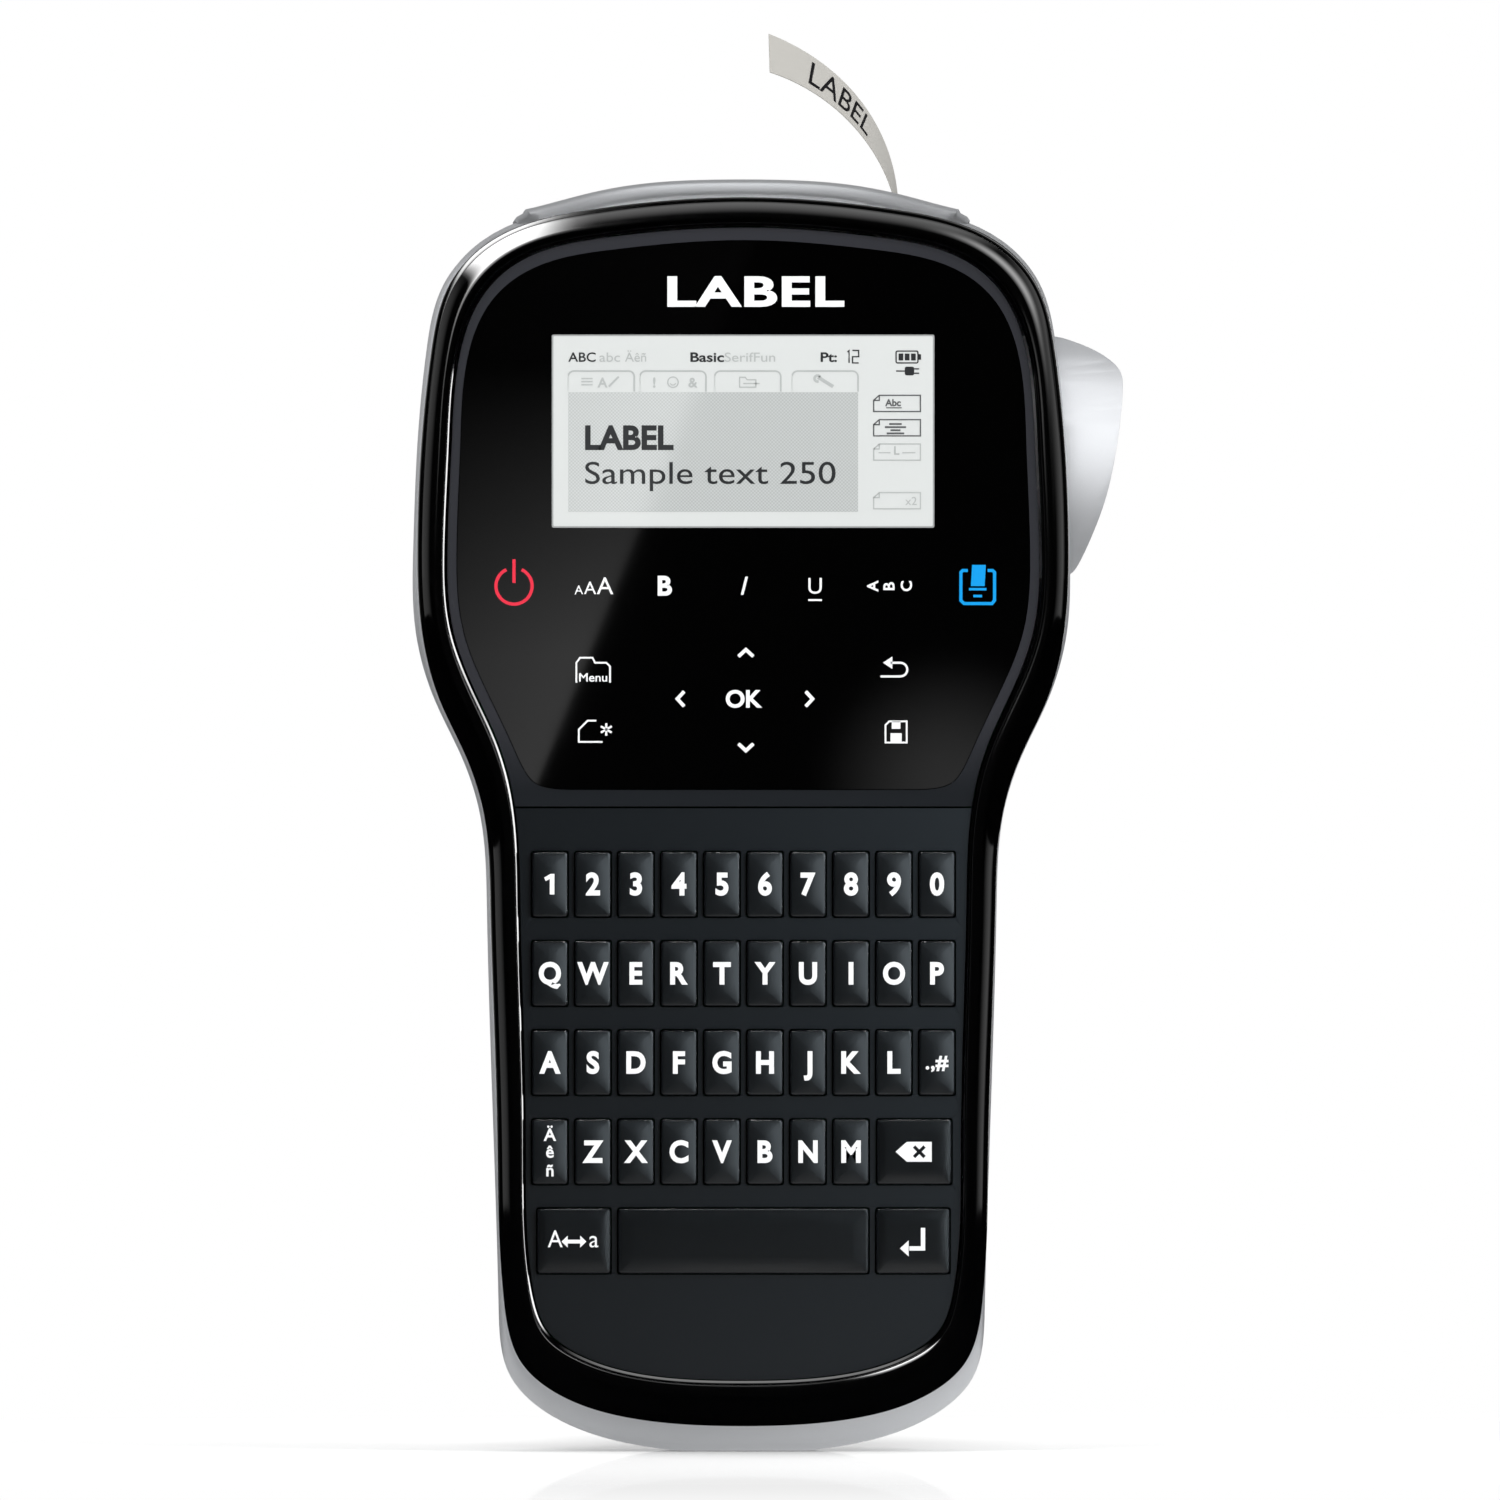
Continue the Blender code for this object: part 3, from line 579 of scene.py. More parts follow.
SILVER = material("silver_paint", (0.72, 0.735, 0.76), 0.32, metallic=0.6,
                  grain=(0.12, 0.05, 0.05, 0.0007))
GLOSS_BLACK = material("gloss_black", (0.0020, 0.0020, 0.0024), 0.05,
                       grain=(9.0, 0.2, 0.015, 0.0))
GLASS_BLACK = material("display_glass", (0.0012, 0.0012, 0.0014), 0.02,
                       grain=(14.0, 0.2, 0.008, 0.0))
BAND_GREY = band_material("band_grey", (0.028, 0.029, 0.035), (0.0105, 0.0125, 0.0155), 0.45,
                          (106.0, 118.0))
PANEL_BLACK = material("keypad_matte", (0.0085, 0.0105, 0.0130), 0.46,
                       grain=(0.12, 0.12, 0.06, 0.003))
KEY_BLACK = material("key_rubber", (0.0070, 0.0090, 0.0112), 0.30,
                     grain=(0.10, 0.12, 0.05, 0.003))
WHITE_INK = ink("white_ink", (0.84, 0.85, 0.86), 0.02)
RED_INK = ink("red_ink", (0.72, 0.028, 0.058), 0.04)
BLUE_INK = ink("blue_ink", (0.0, 0.29, 0.70), 0.04)
LCD_PALE = display_look("lcd_pale", (0.61, 0.63, 0.622), 0.012)
LCD_FIELD = dotted_material("lcd_field", (0.49, 0.51, 0.505), (0.39, 0.41, 0.405), 0.28)
LCD_GREY = display_look("lcd_grey", (0.42, 0.44, 0.435), 0.04)
LCD_DARK = display_look("lcd_dark", (0.026, 0.028, 0.030), 0.1)
LCD_MIDDLE = display_look("lcd_middle", (0.10, 0.105, 0.107), 0.1)
LCD_EDGE = display_look("lcd_edge", (0.30, 0.31, 0.31), 0.05, 0.4)
LABEL_FILM = material("label_film", (0.40, 0.39, 0.365), 0.45, grain=(2.2, 0.035, 0.05, 0.0),
                      specular=0.3)
LABEL_INK = material("label_ink", (0.006, 0.006, 0.007), 0.6, grain=(0.3, 0.1, 0.05, 0.0),
                     specular=0.1)
STEEL = material("steel", (0.58, 0.59, 0.60), 0.3, metallic=1.0, grain=(0.2, 0.05, 0.08, 0.001))
BRASS = material("contact_gold", (0.80, 0.58, 0.25), 0.28, metallic=1.0,
                 grain=(0.3, 0.06, 0.08, 0.001))
DARK_PLASTIC = material("chassis_grey", (0.05, 0.05, 0.053), 0.55,
                        grain=(0.15, 0.15, 0.08, 0.004))
CASSETTE_GREY = material("cassette_grey", (0.16, 0.165, 0.17), 0.45,
                         grain=(0.12, 0.08, 0.06, 0.003))
SPOOL_WHITE = material("spool_white", (0.62, 0.62, 0.60), 0.4, grain=(0.3, 0.05, 0.06, 0.002))
TAPE_ROLL = material("tape_roll", (0.50, 0.49, 0.46), 0.35, grain=(0.05, 0.12, 0.08, 0.002))
BOARD_GREEN = material("board_green", (0.01, 0.10, 0.035), 0.4, grain=(2.0, 0.2, 0.08, 0.002))
BATTERY_WRAP = material("battery_wrap", (0.02, 0.022, 0.03), 0.3, grain=(3.0, 0.2, 0.08, 0.02))
RUBBER = material("platen_rubber", (0.02, 0.02, 0.021), 0.75, grain=(0.1, 0.2, 0.08, 0.004))


# ---------------------------------------------------------------- the shell
def rear_depth(z):
    share = np.clip((z - HEAD_SLOPE[0]) / (HEAD_SLOPE[1] - HEAD_SLOPE[0]), 0, 1)
    return HANDLE_DEPTH + (HEAD_DEPTH - HANDLE_DEPTH) * share * share * (3 - 2 * share)


# Share of the way from the bezel's outline to the case's, and depth.
CASE_FLARE = ((0.0, 12.02), (0.015, 12.2), (0.05, 12.31), (0.12, 12.36), (0.22, 12.42),
              (0.38, 12.6), (0.55, 12.9), (0.7, 13.3), (0.83, 13.8), (0.92, 14.4), (0.98, 15.0),
              (1.0, CASE_FULL_DEPTH))
# Share of the way in to the middle line, and how far short of the full depth.
CASE_BACK = ((0.0, 7.0), (0.0015, 6.0), (0.006, 5.0), (0.014, 4.0), (0.027, 3.0), (0.044, 2.15),
             (0.066, 1.4), (0.095, 0.85), (0.13, 0.48), (0.18, 0.25), (0.25, 0.1), (0.34, 0.03),
             (0.5, 0.0), (0.75, 0.0), (1.0, 0.0))


def case_shell():
    case, bezel = outline(CASE_HALF), outline(BEZEL_HALF)
    case[:, 1] = np.maximum(case[:, 1], 0)
    rings = [flat_ring(bezel + (case - bezel) * share, depth) for share, depth in CASE_FLARE]
    for depth in np.linspace(CASE_FULL_DEPTH, 30, 4)[1:]:
        rings.append(flat_ring(case, depth))
    for share, short in CASE_BACK:
        ring = towards_spine(case, share)
        rings.append([(x, rear_depth(z) - short, z) for x, z in ring])
    shell = loft(rings, caps=False)
    return modified(shell, ("SOLIDIFY", {"thickness": CASE_WALL * MM, "offset": -1,
                                         "use_even_offset": True}))


def door_prism(corners, grow):
    ring = rounded_rectangle(*grown(*corners, grow), DOOR_CORNER + grow)
    return filled([ring], (HANDLE_DEPTH - 4, HEAD_DEPTH + 4))


def hinge_barrel(side, grow):
    bm = bmesh.new()
    place = Matrix.Translation(at(side * HINGE_X, HEAD_DEPTH, CASSETTE_DOOR[0][1]))
    radius = (HINGE_RADIUS + grow) * MM
    bmesh.ops.create_cone(bm, cap_ends=True, segments=28, radius1=radius, radius2=radius,
                          depth=(HINGE_LENGTH + 2 * grow) * MM,
                          matrix=place @ Matrix.Rotation(math.radians(90), 4, "Y"))
    return mesh_from(bm, "barrel")


def slot_cutter():
    middle = sum(TAPE_DEPTHS) / 2
    across, deep = (size / 2 for size in SLOT_SIZE)
    return block((TAPE_X - across, 190), (TAPE_X + across, 210), (middle - deep, middle + deep))


def make_rear_case(shell):
    cutters = [
        door_prism(CASSETTE_DOOR, 0), door_prism(BATTERY_DOOR, 0), slot_cutter(),
        block(*LEVER_WINDOW, (LEVER_DEPTHS[0] - 0.7, LEVER_DEPTHS[1] + 0.7)),
        block((-60, USB_HEIGHT - USB_SIZE[0] / 2), (-48, USB_HEIGHT + USB_SIZE[0] / 2),
              (USB_DEPTH - USB_SIZE[1] / 2, USB_DEPTH + USB_SIZE[1] / 2)),
        *[hinge_barrel(side, 0.4) for side in (-1, 1)],
    ]
    for x, z in SCREWS:
        back = float(rear_depth(z))
        cutters.append(rod(x, z, SCREW_WELL[0], (back - SCREW_WELL[1], back + 3)))
    piece("rear_shell", cut(shell.copy(), *cutters), SILVER, "housing",
          "rear_case", angle=30)


def make_doors(shell):
    door = cut(shell.copy(), door_prism(CASSETTE_DOOR, -DOOR_GAP), operation="INTERSECT")
    door = cut(door, hinge_barrel(-1, 0), hinge_barrel(1, 0), operation="UNION")
    piece("cassette_door_skin", door, SILVER, "rear_door", "cassette_door", 30)
    cover = cut(shell.copy(), door_prism(BATTERY_DOOR, -DOOR_GAP), operation="INTERSECT")
    piece("battery_door_skin", cover, SILVER, "battery_cover", "battery_door", 30)


# The bezel's section, share of the way from its outer edge to its inner lip, and depth: an outer
# step, a broad crown, a flat stretch and a rounded edge. The lip inside it is a ring of its own.
CROWN_START, CROWN_TOP, CROWN_END = 0.15, 0.60, 0.87
STEP_FOOT, CROWN_RISE = 1.45, 1.30


def bezel_section():
    """The section's points, and which of them are sharp."""
    step = [(0.0, PARTING_DEPTH), (0.0, 2.2), (0.004, 1.9), (0.012, 1.68), (0.024, 1.54),
            (0.038, 1.475), (0.055, STEP_FOOT + 0.003), (CROWN_START, STEP_FOOT)]
    crown = [(CROWN_START + 0.012 + (CROWN_TOP - CROWN_START) * t, CROWN_RISE * (1 - t) ** 2)
             for t in np.linspace(0, 1, 13)[:-1]]
    level = [(CROWN_TOP + (CROWN_END - CROWN_TOP) * t, 0.04 * t * t)
             for t in np.linspace(0, 1, 5)]
    edge = [(0.878, 0.055), (0.886, 0.09), (0.893, 0.14), (0.899, 0.21), (0.904, 0.32),
            (0.907, 0.5), (0.908, 1.1), (0.908, 2.85), (0.42, 2.85), (0.38, PARTING_DEPTH)]
    section = step + crown + level + edge
    return section, [0, len(step) - 1, len(step), *range(len(section) - 4, len(section))]


LIP_SECTION = ((0.9085, 2.7), (0.9085, 1.16), (0.918, 1.13), (0.934, 1.165), (0.954, 1.225),
               (0.976, 1.305), (0.996, 1.40), (1.0, 1.6), (1.0, 2.7))
LIP_CREASES = (0, 1, 6, 7, 8)


def make_bezel():
    outer, inner = outline(BEZEL_HALF, 2 * FINE), outline(LIP_HALF, 2 * FINE)
    made = []
    for name, (section, creases), stands_for in (
            ("bezel_ring", bezel_section(), "front_bezel"),
            ("bezel_lip", (LIP_SECTION, LIP_CREASES), ())):
        rings = [flat_ring(outer + (inner - outer) * share, depth) for share, depth in section]
        made.append(piece(name, loft(rings, around=True, creases=creases), GLOSS_BLACK, "housing",
                          stands_for, angle=None, level=False))
    return made


# How far the cover's edge is drawn in, and how far behind its front face.
COVER_THICK = 3.6
COVER_ROUND = ((2.5, 0.0), (1.9, 0.06), (1.4, 0.2), (0.95, 0.45), (0.6, 0.8), (0.32, 1.3),
               (0.13, 1.9), (0.03, 2.6), (0.0, 3.4))


def make_top_cover():
    arch = [*COVER_TOP_HALF, *[(-x, z) for x, z in reversed(COVER_TOP_HALF[:-1])]]
    fit = np.polyfit([p[0] for p in arch], [p[1] for p in arch], 6)
    top = [(x, float(np.polyval(fit, x))) for x in np.linspace(34.8, -34.8, 61)]
    end = COVER_STEP[-1][0]
    under = sorted((x, z - COVER_THICK) for x, z in outline(CASE_HALF) if abs(x) < end and z > 150)
    ring = [*COVER_STEP[::-1], *top, *[(-x, z) for x, z in COVER_STEP], *under]
    back = ((0.0, COVER_DEPTHS[1] - 0.6), (0.15, COVER_DEPTHS[1] - 0.15), (0.5, COVER_DEPTHS[1]))
    rings = [flat_ring([(x * (1 - inward / end), z - inward) for x, z in ring], depth)
             for inward, depth in [*[(i, PARTING_DEPTH + 0.15 + d) for i, d in COVER_ROUND],
                                   *back]]
    piece("top_cover_skin", cut(loft(rings), slot_cutter()), SILVER, "housing",
          "top_cover", angle=30)


# ---------------------------------------------------------------- the front
def panel_outline():
    return towards_spine(outline(LIP_HALF), 0.009)


def glass_outline():
    """The glass: a smooth arch with a straight bottom edge and rounded lower corners."""
    half = [(0.0, GLASS_BOTTOM), (18.0, GLASS_BOTTOM), (27.0, GLASS_BOTTOM + 0.02),
            (31.0, GLASS_BOTTOM + 0.25), (33.6, GLASS_BOTTOM + 1.2), (35.2, 109.4),
            *GLASS_TOP_HALF]
    return outline(half)


# How far the glass's edge is drawn in, and how far behind its front face.
GLASS_EDGE = ((0, 0.2), (0, 0.04), (0.03, 0.012), (0.10, 0))


def make_overlay():
    band = filled([clipped(panel_outline(), lambda z: z - SEAM_HEIGHT - 0.15)],
                  (PANEL_DEPTH + 0.12, PANEL_DEPTH + PANEL_THICK))
    piece("display_band", bevelled(band, 0.22, 3), BAND_GREY, "housing",
          "display_overlay", angle=40)
    glass = glass_outline()
    rings = [flat_ring(inset(glass, inward) if inward else glass, PANEL_DEPTH + behind)
             for inward, behind in GLASS_EDGE]
    return piece("display_glass", loft(rings), GLASS_BLACK, "housing",
                 angle=5)


def key_places():
    for row, names in enumerate(KEY_ROWS):
        z = KEY_TOP_ROW - row * KEY_PITCH[1]
        for column, name in enumerate(names):
            yield name, ((column - 4.5) * KEY_PITCH[0], z), KEY_SIZE[0]
    for name, row, x, width in WIDE_KEYS:
        yield name, (x, KEY_TOP_ROW - row * KEY_PITCH[1]), width


def make_panel():
    holes = []
    for _, (x, z), width in key_places():
        across, up = width / 2 + 0.2, KEY_SIZE[1] / 2 + 0.2
        holes.append(rounded_rectangle((x - across, z - up), (x + across, z + up), 0.5, 3))
    ring = clipped(panel_outline(), lambda z: SEAM_HEIGHT - 0.15 - z)
    panel = filled([ring, *holes], (PANEL_DEPTH, PANEL_DEPTH + PANEL_THICK))
    piece("keypad_face", bevelled(panel, 0.16, 2), PANEL_BLACK, "housing",
          "keypad_plate", angle=40)


# A key cap's rounded edge: how far in, and depth. Inside it the top is domed.
KEY_EDGE = ((0.0, 6.4), (0.0, 1.1), (0.02, 0.96), (0.06, 0.83), (0.11, 0.73), (0.18, 0.65),
            (0.27, 0.6), (0.37, 0.57))
KEY_INSETS = (0.48, 0.62, 0.76, 0.92, 1.12, 1.36, 1.62, 1.9, 2.2, 2.5, 2.75)
KEY_MIDDLE = 0.255
KEY_DOME = (2.0, 10.0)  # how a key's top falls off sideways: an ordinary key, a wide one
LEGEND_DEPTH = 0.215
LEGEND_THICK = 0.3


def with_sides(ring, corner_points, counts):
    """The ring of a rounded rectangle with more points put along its four straight sides."""
    made = []
    for side, count in enumerate(counts):
        corner = ring[side * corner_points:(side + 1) * corner_points]
        start, end = corner[-1], ring[(side + 1) * corner_points % len(ring)]
        made += [tuple(p) for p in corner]
        made += [tuple(np.array(start) + (np.array(end) - np.array(start)) * i / (count + 1))
                 for i in range(1, count + 1)]
    return made


def key_cap(x, z, width):
    up, across = KEY_SIZE[1] / 2, width / 2
    edge_in, edge_depth = KEY_EDGE[-1]
    counts = (3 if width > KEY_SIZE[0] else 1, 7)
    rings = []
    for inward, depth in [*KEY_EDGE, *[(inset_by, None) for inset_by in KEY_INSETS]]:
        corner = max(0.55 - inward * 0.5, 0.08)
        ring = rounded_rectangle((x - across + inward, z - up + inward),
                                 (x + across - inward, z + up - inward), corner, 4)
        first_side = 0 if abs(ring[4][1] - ring[5][1]) < 1e-6 else 1
        ring = with_sides(ring, 5, [counts[(side + first_side) % 2] for side in range(4)])
        if depth is not None:
            rings.append(flat_ring(ring, depth))
            continue
        domed = []
        for px, pz in ring:
            side = abs(px - x) / (across - edge_in)
            end = abs(pz - z) / (up - edge_in)
            rise = (1 - side ** KEY_DOME[width > 2 * KEY_SIZE[0]]) * (1 - end ** 5)
            domed.append((px, edge_depth - (edge_depth - KEY_MIDDLE) * rise, pz))
        rings.append(domed)
    return loft(rings)


def key_words(text, x, z, cap, **how):
    return lettered(text, x, z, cap, LEGEND_DEPTH, thick=LEGEND_THICK, **how)


def key_mark(x, z, *outlines):
    return filled([moved(points, x, z) for points in outlines],
                  (LEGEND_DEPTH, LEGEND_DEPTH + LEGEND_THICK))


DIGIT_ONE = ((-0.02, -1.62), (0.72, -1.62), (0.72, 1.68), (0.1, 1.68), (-0.92, 1.1),
             (-0.68, 0.52), (-0.02, 0.86))
SHIFT_ARROW = ((-2.0, 0), (-1.0, 0.95), (-1.0, 0.3), (1.0, 0.3), (1.0, 0.95), (2.0, 0),
               (1.0, -0.95), (1.0, -0.3), (-1.0, -0.3), (-1.0, -0.95))
BACKSPACE_TAG = ((-3.0, 0), (-1.2, 1.6), (2.8, 1.6), (2.8, -1.6), (-1.2, -1.6))


def diagonal_cross(x, z, reach, half):
    """A closed outline of a cross turned to 45 degrees."""
    arm = ((half, -half), (reach, -half), (reach, half), (half, half))
    return [point for degrees in (45, 135, 225, 315) for point in turned(arm, degrees, x, z)]


def legend(name, x, z):
    """The white legend of a key."""
    if name == "digit_1":
        return [key_mark(x, z, DIGIT_ONE)]
    if name.startswith("digit_"):
        return [key_words(name[-1], x, z - 1.6, 3.3, weight=0.04, narrow=0.92)]
    if name == "punctuation":
        return [key_words(".,#", x, z - 1.0, 2.2, weight=0.03, spacing=1.1)]
    if name == "accents":
        return [key_words(word, x, z + rise, 1.9, weight=0.02)
                for word, rise in (("Ä", 1.8), ("ê", -0.9), ("ñ", -3.9))]
    if name == "shift":
        return [key_words("A", x - 3.0, z - 1.0, 2.7, narrow=0.9),
                key_words("a", x + 3.2, z - 1.0, 2.7, narrow=0.95),
                key_mark(x, z - 0.1, SHIFT_ARROW)]
    if name == "return":
        line = [(1.6, 2.1), (1.6, -1.2), (-0.6, -1.2)]
        head = [(-2.1, -1.2), (-0.7, 0.1), (-0.7, -2.5)]
        return [key_mark(x, z, ribbon(line, 0.7)[0]), key_mark(x, z, head)]
    if name == "backspace":
        return [key_mark(x, z, BACKSPACE_TAG, diagonal_cross(0.8, 0, 1.2, 0.27))]
    if name == "space":
        return []
    return [key_words(name.upper(), x, z - 1.6, 3.25, weight=0.04, narrow=0.92)]


def make_keys():
    for name, (x, z), width in key_places():
        piece(f"cap_{name}", key_cap(x, z, width), KEY_BLACK, f"button_{name}",
              f"key_{name}", angle=60, level=False)
        marks = legend(name, x, z)
        if marks:
            piece(f"legend_{name}", marks, WHITE_INK, f"button_{name}")


# ---------------------------------------------------------------- display and printing
ICON_DEPTH = PANEL_DEPTH
LCD_LOW, LCD_HIGH = (-30.5, 148.5), (30.4, 179.0)


def flat(outlines, lift=0.0):
    return filled(outlines, (ICON_DEPTH - 0.03 - lift, ICON_DEPTH - lift + 0.005))


def words(text, x, z, cap, lift=0.0, **how):
    return lettered(text, x, z, cap, ICON_DEPTH - 0.03 - lift, **how)


def strokes(lines, width, lift=0.0, closed=False):
    """Thin lines, each a list of points."""
    return [flat(ribbon(line, width, closed), lift) for line in lines]


def boxes(*corners):
    return [flat([rectangle(low, high)]) for low, high in corners]


CHEVRON = ((-1.2, -0.5), (0, 0.6), (1.2, -0.5))
CHEVRONS = ((0.4, 128.1, 0), (-10.0, 120.8, 90), (10.5, 120.8, -90), (0.4, 113.1, 180))
FOLDER_ICON = ((-26.8, 123.4), (-26.8, 126.6), (-26.2, 127.4), (-24.2, 127.4), (-23.8, 126.6),
               (-22.0, 126.6), (-21.4, 126.0), (-21.4, 123.4))
PAGE_ICON = ((-22.6, 113.9), (-26.4, 113.9), (-26.4, 115.9), (-25.0, 117.3), (-23.6, 117.3))
DISK_ICON = ((22.8, 113.8), (26.2, 113.8), (26.2, 117.2), (23.4, 117.2), (22.8, 116.6))
PRINTER_ICON = ((36.0, 141.4), (35.2, 141.4), (34.9, 141.1), (34.9, 136.6), (35.4, 136.1),
                (39.9, 136.1), (40.3, 136.6), (40.3, 141.1), (40.0, 141.4), (39.2, 141.4))
POWER_PLACE = (-36.8, 138.9)


def make_icons():
    """The printing on the glass: white words and signs, a red power mark, a blue print mark."""
    white = [
        words("LABEL", 2.0, 183.9, 4.5, weight=0.03, width=28.4, spacing=1.08),
        *[words("A", x, 137.6, cap) for x, cap in ((-26.4, 1.4), (-24.6, 2.0), (-22.2, 2.7))],
        words("B", -12.6, 137.5, 2.9, weight=0.035),
        words("I", -0.2, 137.5, 2.9, slant=0.25),
        words("U", 11.5, 137.7, 2.5),
        words("OK", 0.1, 119.5, 2.6, weight=0.03),
        words("Menu", -24.1, 123.6, 1.3, weight=0.012, width=4.5),
        *[words(letter, x, 138.9, 1.7, weight=0.02, angle=90)
          for letter, x in (("A", 21.6), ("B", 24.2), ("C", 27.0))],
        *strokes([turned(CHEVRON, degrees, x, z) for x, z, degrees in CHEVRONS], 0.55),
        *strokes([FOLDER_ICON, PAGE_ICON], 0.28), *strokes([DISK_ICON], 0.28, closed=True),
        *strokes([turned(((0, -1.0), (0, 1.0)), -degrees, -22.0, 115.9)
                  for degrees in (0, 60, 120)], 0.34),
        *strokes([[(22.0, 124.4), *arc(25.2, 125.5, 1.1, -90, 90, 8), (23.6, 126.6)]], 0.34),
        flat([[(22.4, 126.6), (23.9, 127.6), (23.9, 125.6)]]),
        *boxes(((10.4, 136.5), (12.6, 136.8)), ((23.6, 113.9), (25.4, 115.3)),
               ((23.8, 116.0), (25.2, 117.2))),
    ]
    x, z = POWER_PLACE
    red = strokes([arc(x, z, 2.9, 115, 425, 48), [(x, z + 0.5), (x, z + 4.3)]], 0.52)
    label = [(36.5, 138.9), (38.7, 138.9), (38.9, 142.3), (36.7, 142.3)]
    blue = [*strokes([PRINTER_ICON], 0.5), flat([label]),
            *boxes(((36.2, 138.2), (39.0, 138.6)), ((36.9, 137.1), (38.3, 137.5)))]
    return [piece(name, marks, look, "housing") for name, marks, look in (
        ("white_printing", white, WHITE_INK), ("power_mark", red, RED_INK),
        ("print_mark", blue, BLUE_INK))]


LCD_LIFTS = (0.01, 0.03, 0.05, 0.07)  # edge, sheet, text field and marks, each over the last
UP = LCD_LIFTS[-1]
FINE_LINE = 0.18


def heading(text, x, width, weight=0.0):
    return words(text, x, 174.9, 1.45, UP, weight=weight, align=0, width=width)


def page_frames(x, heights, width):
    """Little labels' outlines with a folded corner, two strokes each."""
    made = []
    for z in heights:
        edge = moved([(0.9, 1.3), (7.5, 1.3), (7.5, -1.3), (0, -1.3), (0, 0.5)], x, z)
        fold = moved([(0.9, 1.3), (0.9, 0.5), (0.0, 0.5)], x, z)
        made += [*strokes([edge], width, UP, closed=True), *strokes([fold], width, UP)]
    return made


SEGMENT_ONE = ((0.1, 0.75), (0.35, 1.0), (0.35, -1.0))
SEGMENT_TWO = ((-0.5, 1.0), (0.5, 1.0), (0.5, 0.0), (-0.5, 0.0), (-0.5, -1.0), (0.5, -1.0))
TAB_LEFTS = (-28.1, -16.6, -4.6, 7.8)
FIELD_LOW, FIELD_HIGH = (-28.1, 150.8), (18.4, 170.0)


def dark_marks():
    plug = ((0.0, 0.0), (1.5, 0.0)), ((2.9, 0.35), (3.7, 0.35)), ((2.9, -0.35), (3.7, -0.35))
    plug_body = moved(rounded_rectangle((1.4, -0.7), (2.9, 0.7), 0.3, 3), 24.5, 173.4)
    battery = rounded_rectangle((24.5, 174.7), (28.0, 176.6), 0.2, 2)
    cells = [((x, 175.1), (x + 0.75, 176.2)) for x in (24.9, 25.9, 26.9)]
    return [
        heading("ABC", -28.1, 4.4, 0.01), heading("Basic", -8.5, 5.4, 0.02),
        heading("Pt:", 12.4, 2.6, 0.02),
        words("LABEL", -25.4, 160.9, 3.6, UP, weight=0.035, align=0, width=14.2),
        words("Sample text 250", -25.4, 155.3, 3.5, UP, align=0, width=40.2),
        *strokes([moved(SEGMENT_ONE, 16.6, 175.7), moved(SEGMENT_TWO, 18.0, 175.7)], 0.2, UP),
        *strokes([battery], 0.2, UP, closed=True),
        *[flat([rounded_rectangle(low, high, 0.05, 1)], UP)
          for low, high in (*cells, ((28.05, 175.2), (28.5, 176.1)))],
        *strokes([moved(line, 24.5, 173.4) for line in plug], 0.2, UP), flat([plug_body], UP),
    ]


def middle_marks():
    lines = ((1.0, 164.9), (1.7, 164.4), (0.8, 163.9), (1.4, 163.4))
    return [
        *page_frames(20.9, (168.2, 164.3), 0.2), words("Abc", 24.0, 167.8, 1.05, UP, weight=0.03),
        *strokes([[(22.9, 167.5), (25.4, 167.5)]], 0.16, UP),
        *strokes([[(24.4 - half, z), (24.4 + half, z)] for half, z in lines], 0.28, UP),
    ]


def grey_marks():
    tabs = [[(x, 170.1), (x, 172.6), *arc(x + 0.9, 172.5, 0.9, 180, 90, 4),
             *arc(x + 9.7, 172.5, 0.9, 90, 0, 4), (x + 10.6, 170.1)] for x in TAB_LEFTS]
    folder = [(-0.6, 170.8), (-0.6, 172.4), (0.3, 172.4), (0.6, 172.0), (2.0, 172.0),
              (2.0, 170.8)]
    return [
        heading("abc", -23.1, 3.3), heading("Äêñ", -19.0, 3.4), heading("SerifFun", -3.0, 8.1),
        *[words(text, x, z, cap, UP, weight=weight) for text, x, z, cap, weight in (
            ("A", -22.6, 170.8, 1.5, 0.02), ("!", -14.3, 170.8, 1.5, 0.03),
            ("&", -8.1, 170.8, 1.5, 0.02), ("L", 24.6, 160.0, 1.3, 0.02),
            ("x2", 26.9, 151.9, 1.3, 0.0))],
        *strokes(tabs, 0.26, UP),
        *strokes([[(-26.0, z), (-24.2, z)] for z in (172.2, 171.7, 171.2)], FINE_LINE, UP),
        *strokes([[(-21.6, 170.9), (-20.0, 172.5)]], 0.3, UP),
        *strokes([circle(-11.3, 171.6, 0.85, 20)], 0.17, UP, closed=True),
        *strokes([arc(-11.3, 171.6, 0.45, 200, 340, 8)], 0.15, UP),
        *strokes([folder], FINE_LINE, UP, closed=True),
        *strokes([[(0.0, 171.4), (2.6, 171.4)]], FINE_LINE, UP),
        *strokes([[(12.0, 172.4), (14.4, 170.9)]], 0.55, UP),
        *strokes([arc(11.9, 172.2, 0.5, 30, 290, 10)], 0.4, UP),
        *page_frames(20.9, (160.4, 152.6), FINE_LINE),
        *strokes([[(21.7, 160.3), (23.6, 160.3)], [(25.5, 160.3), (27.6, 160.3)]], 0.16, UP),
    ]


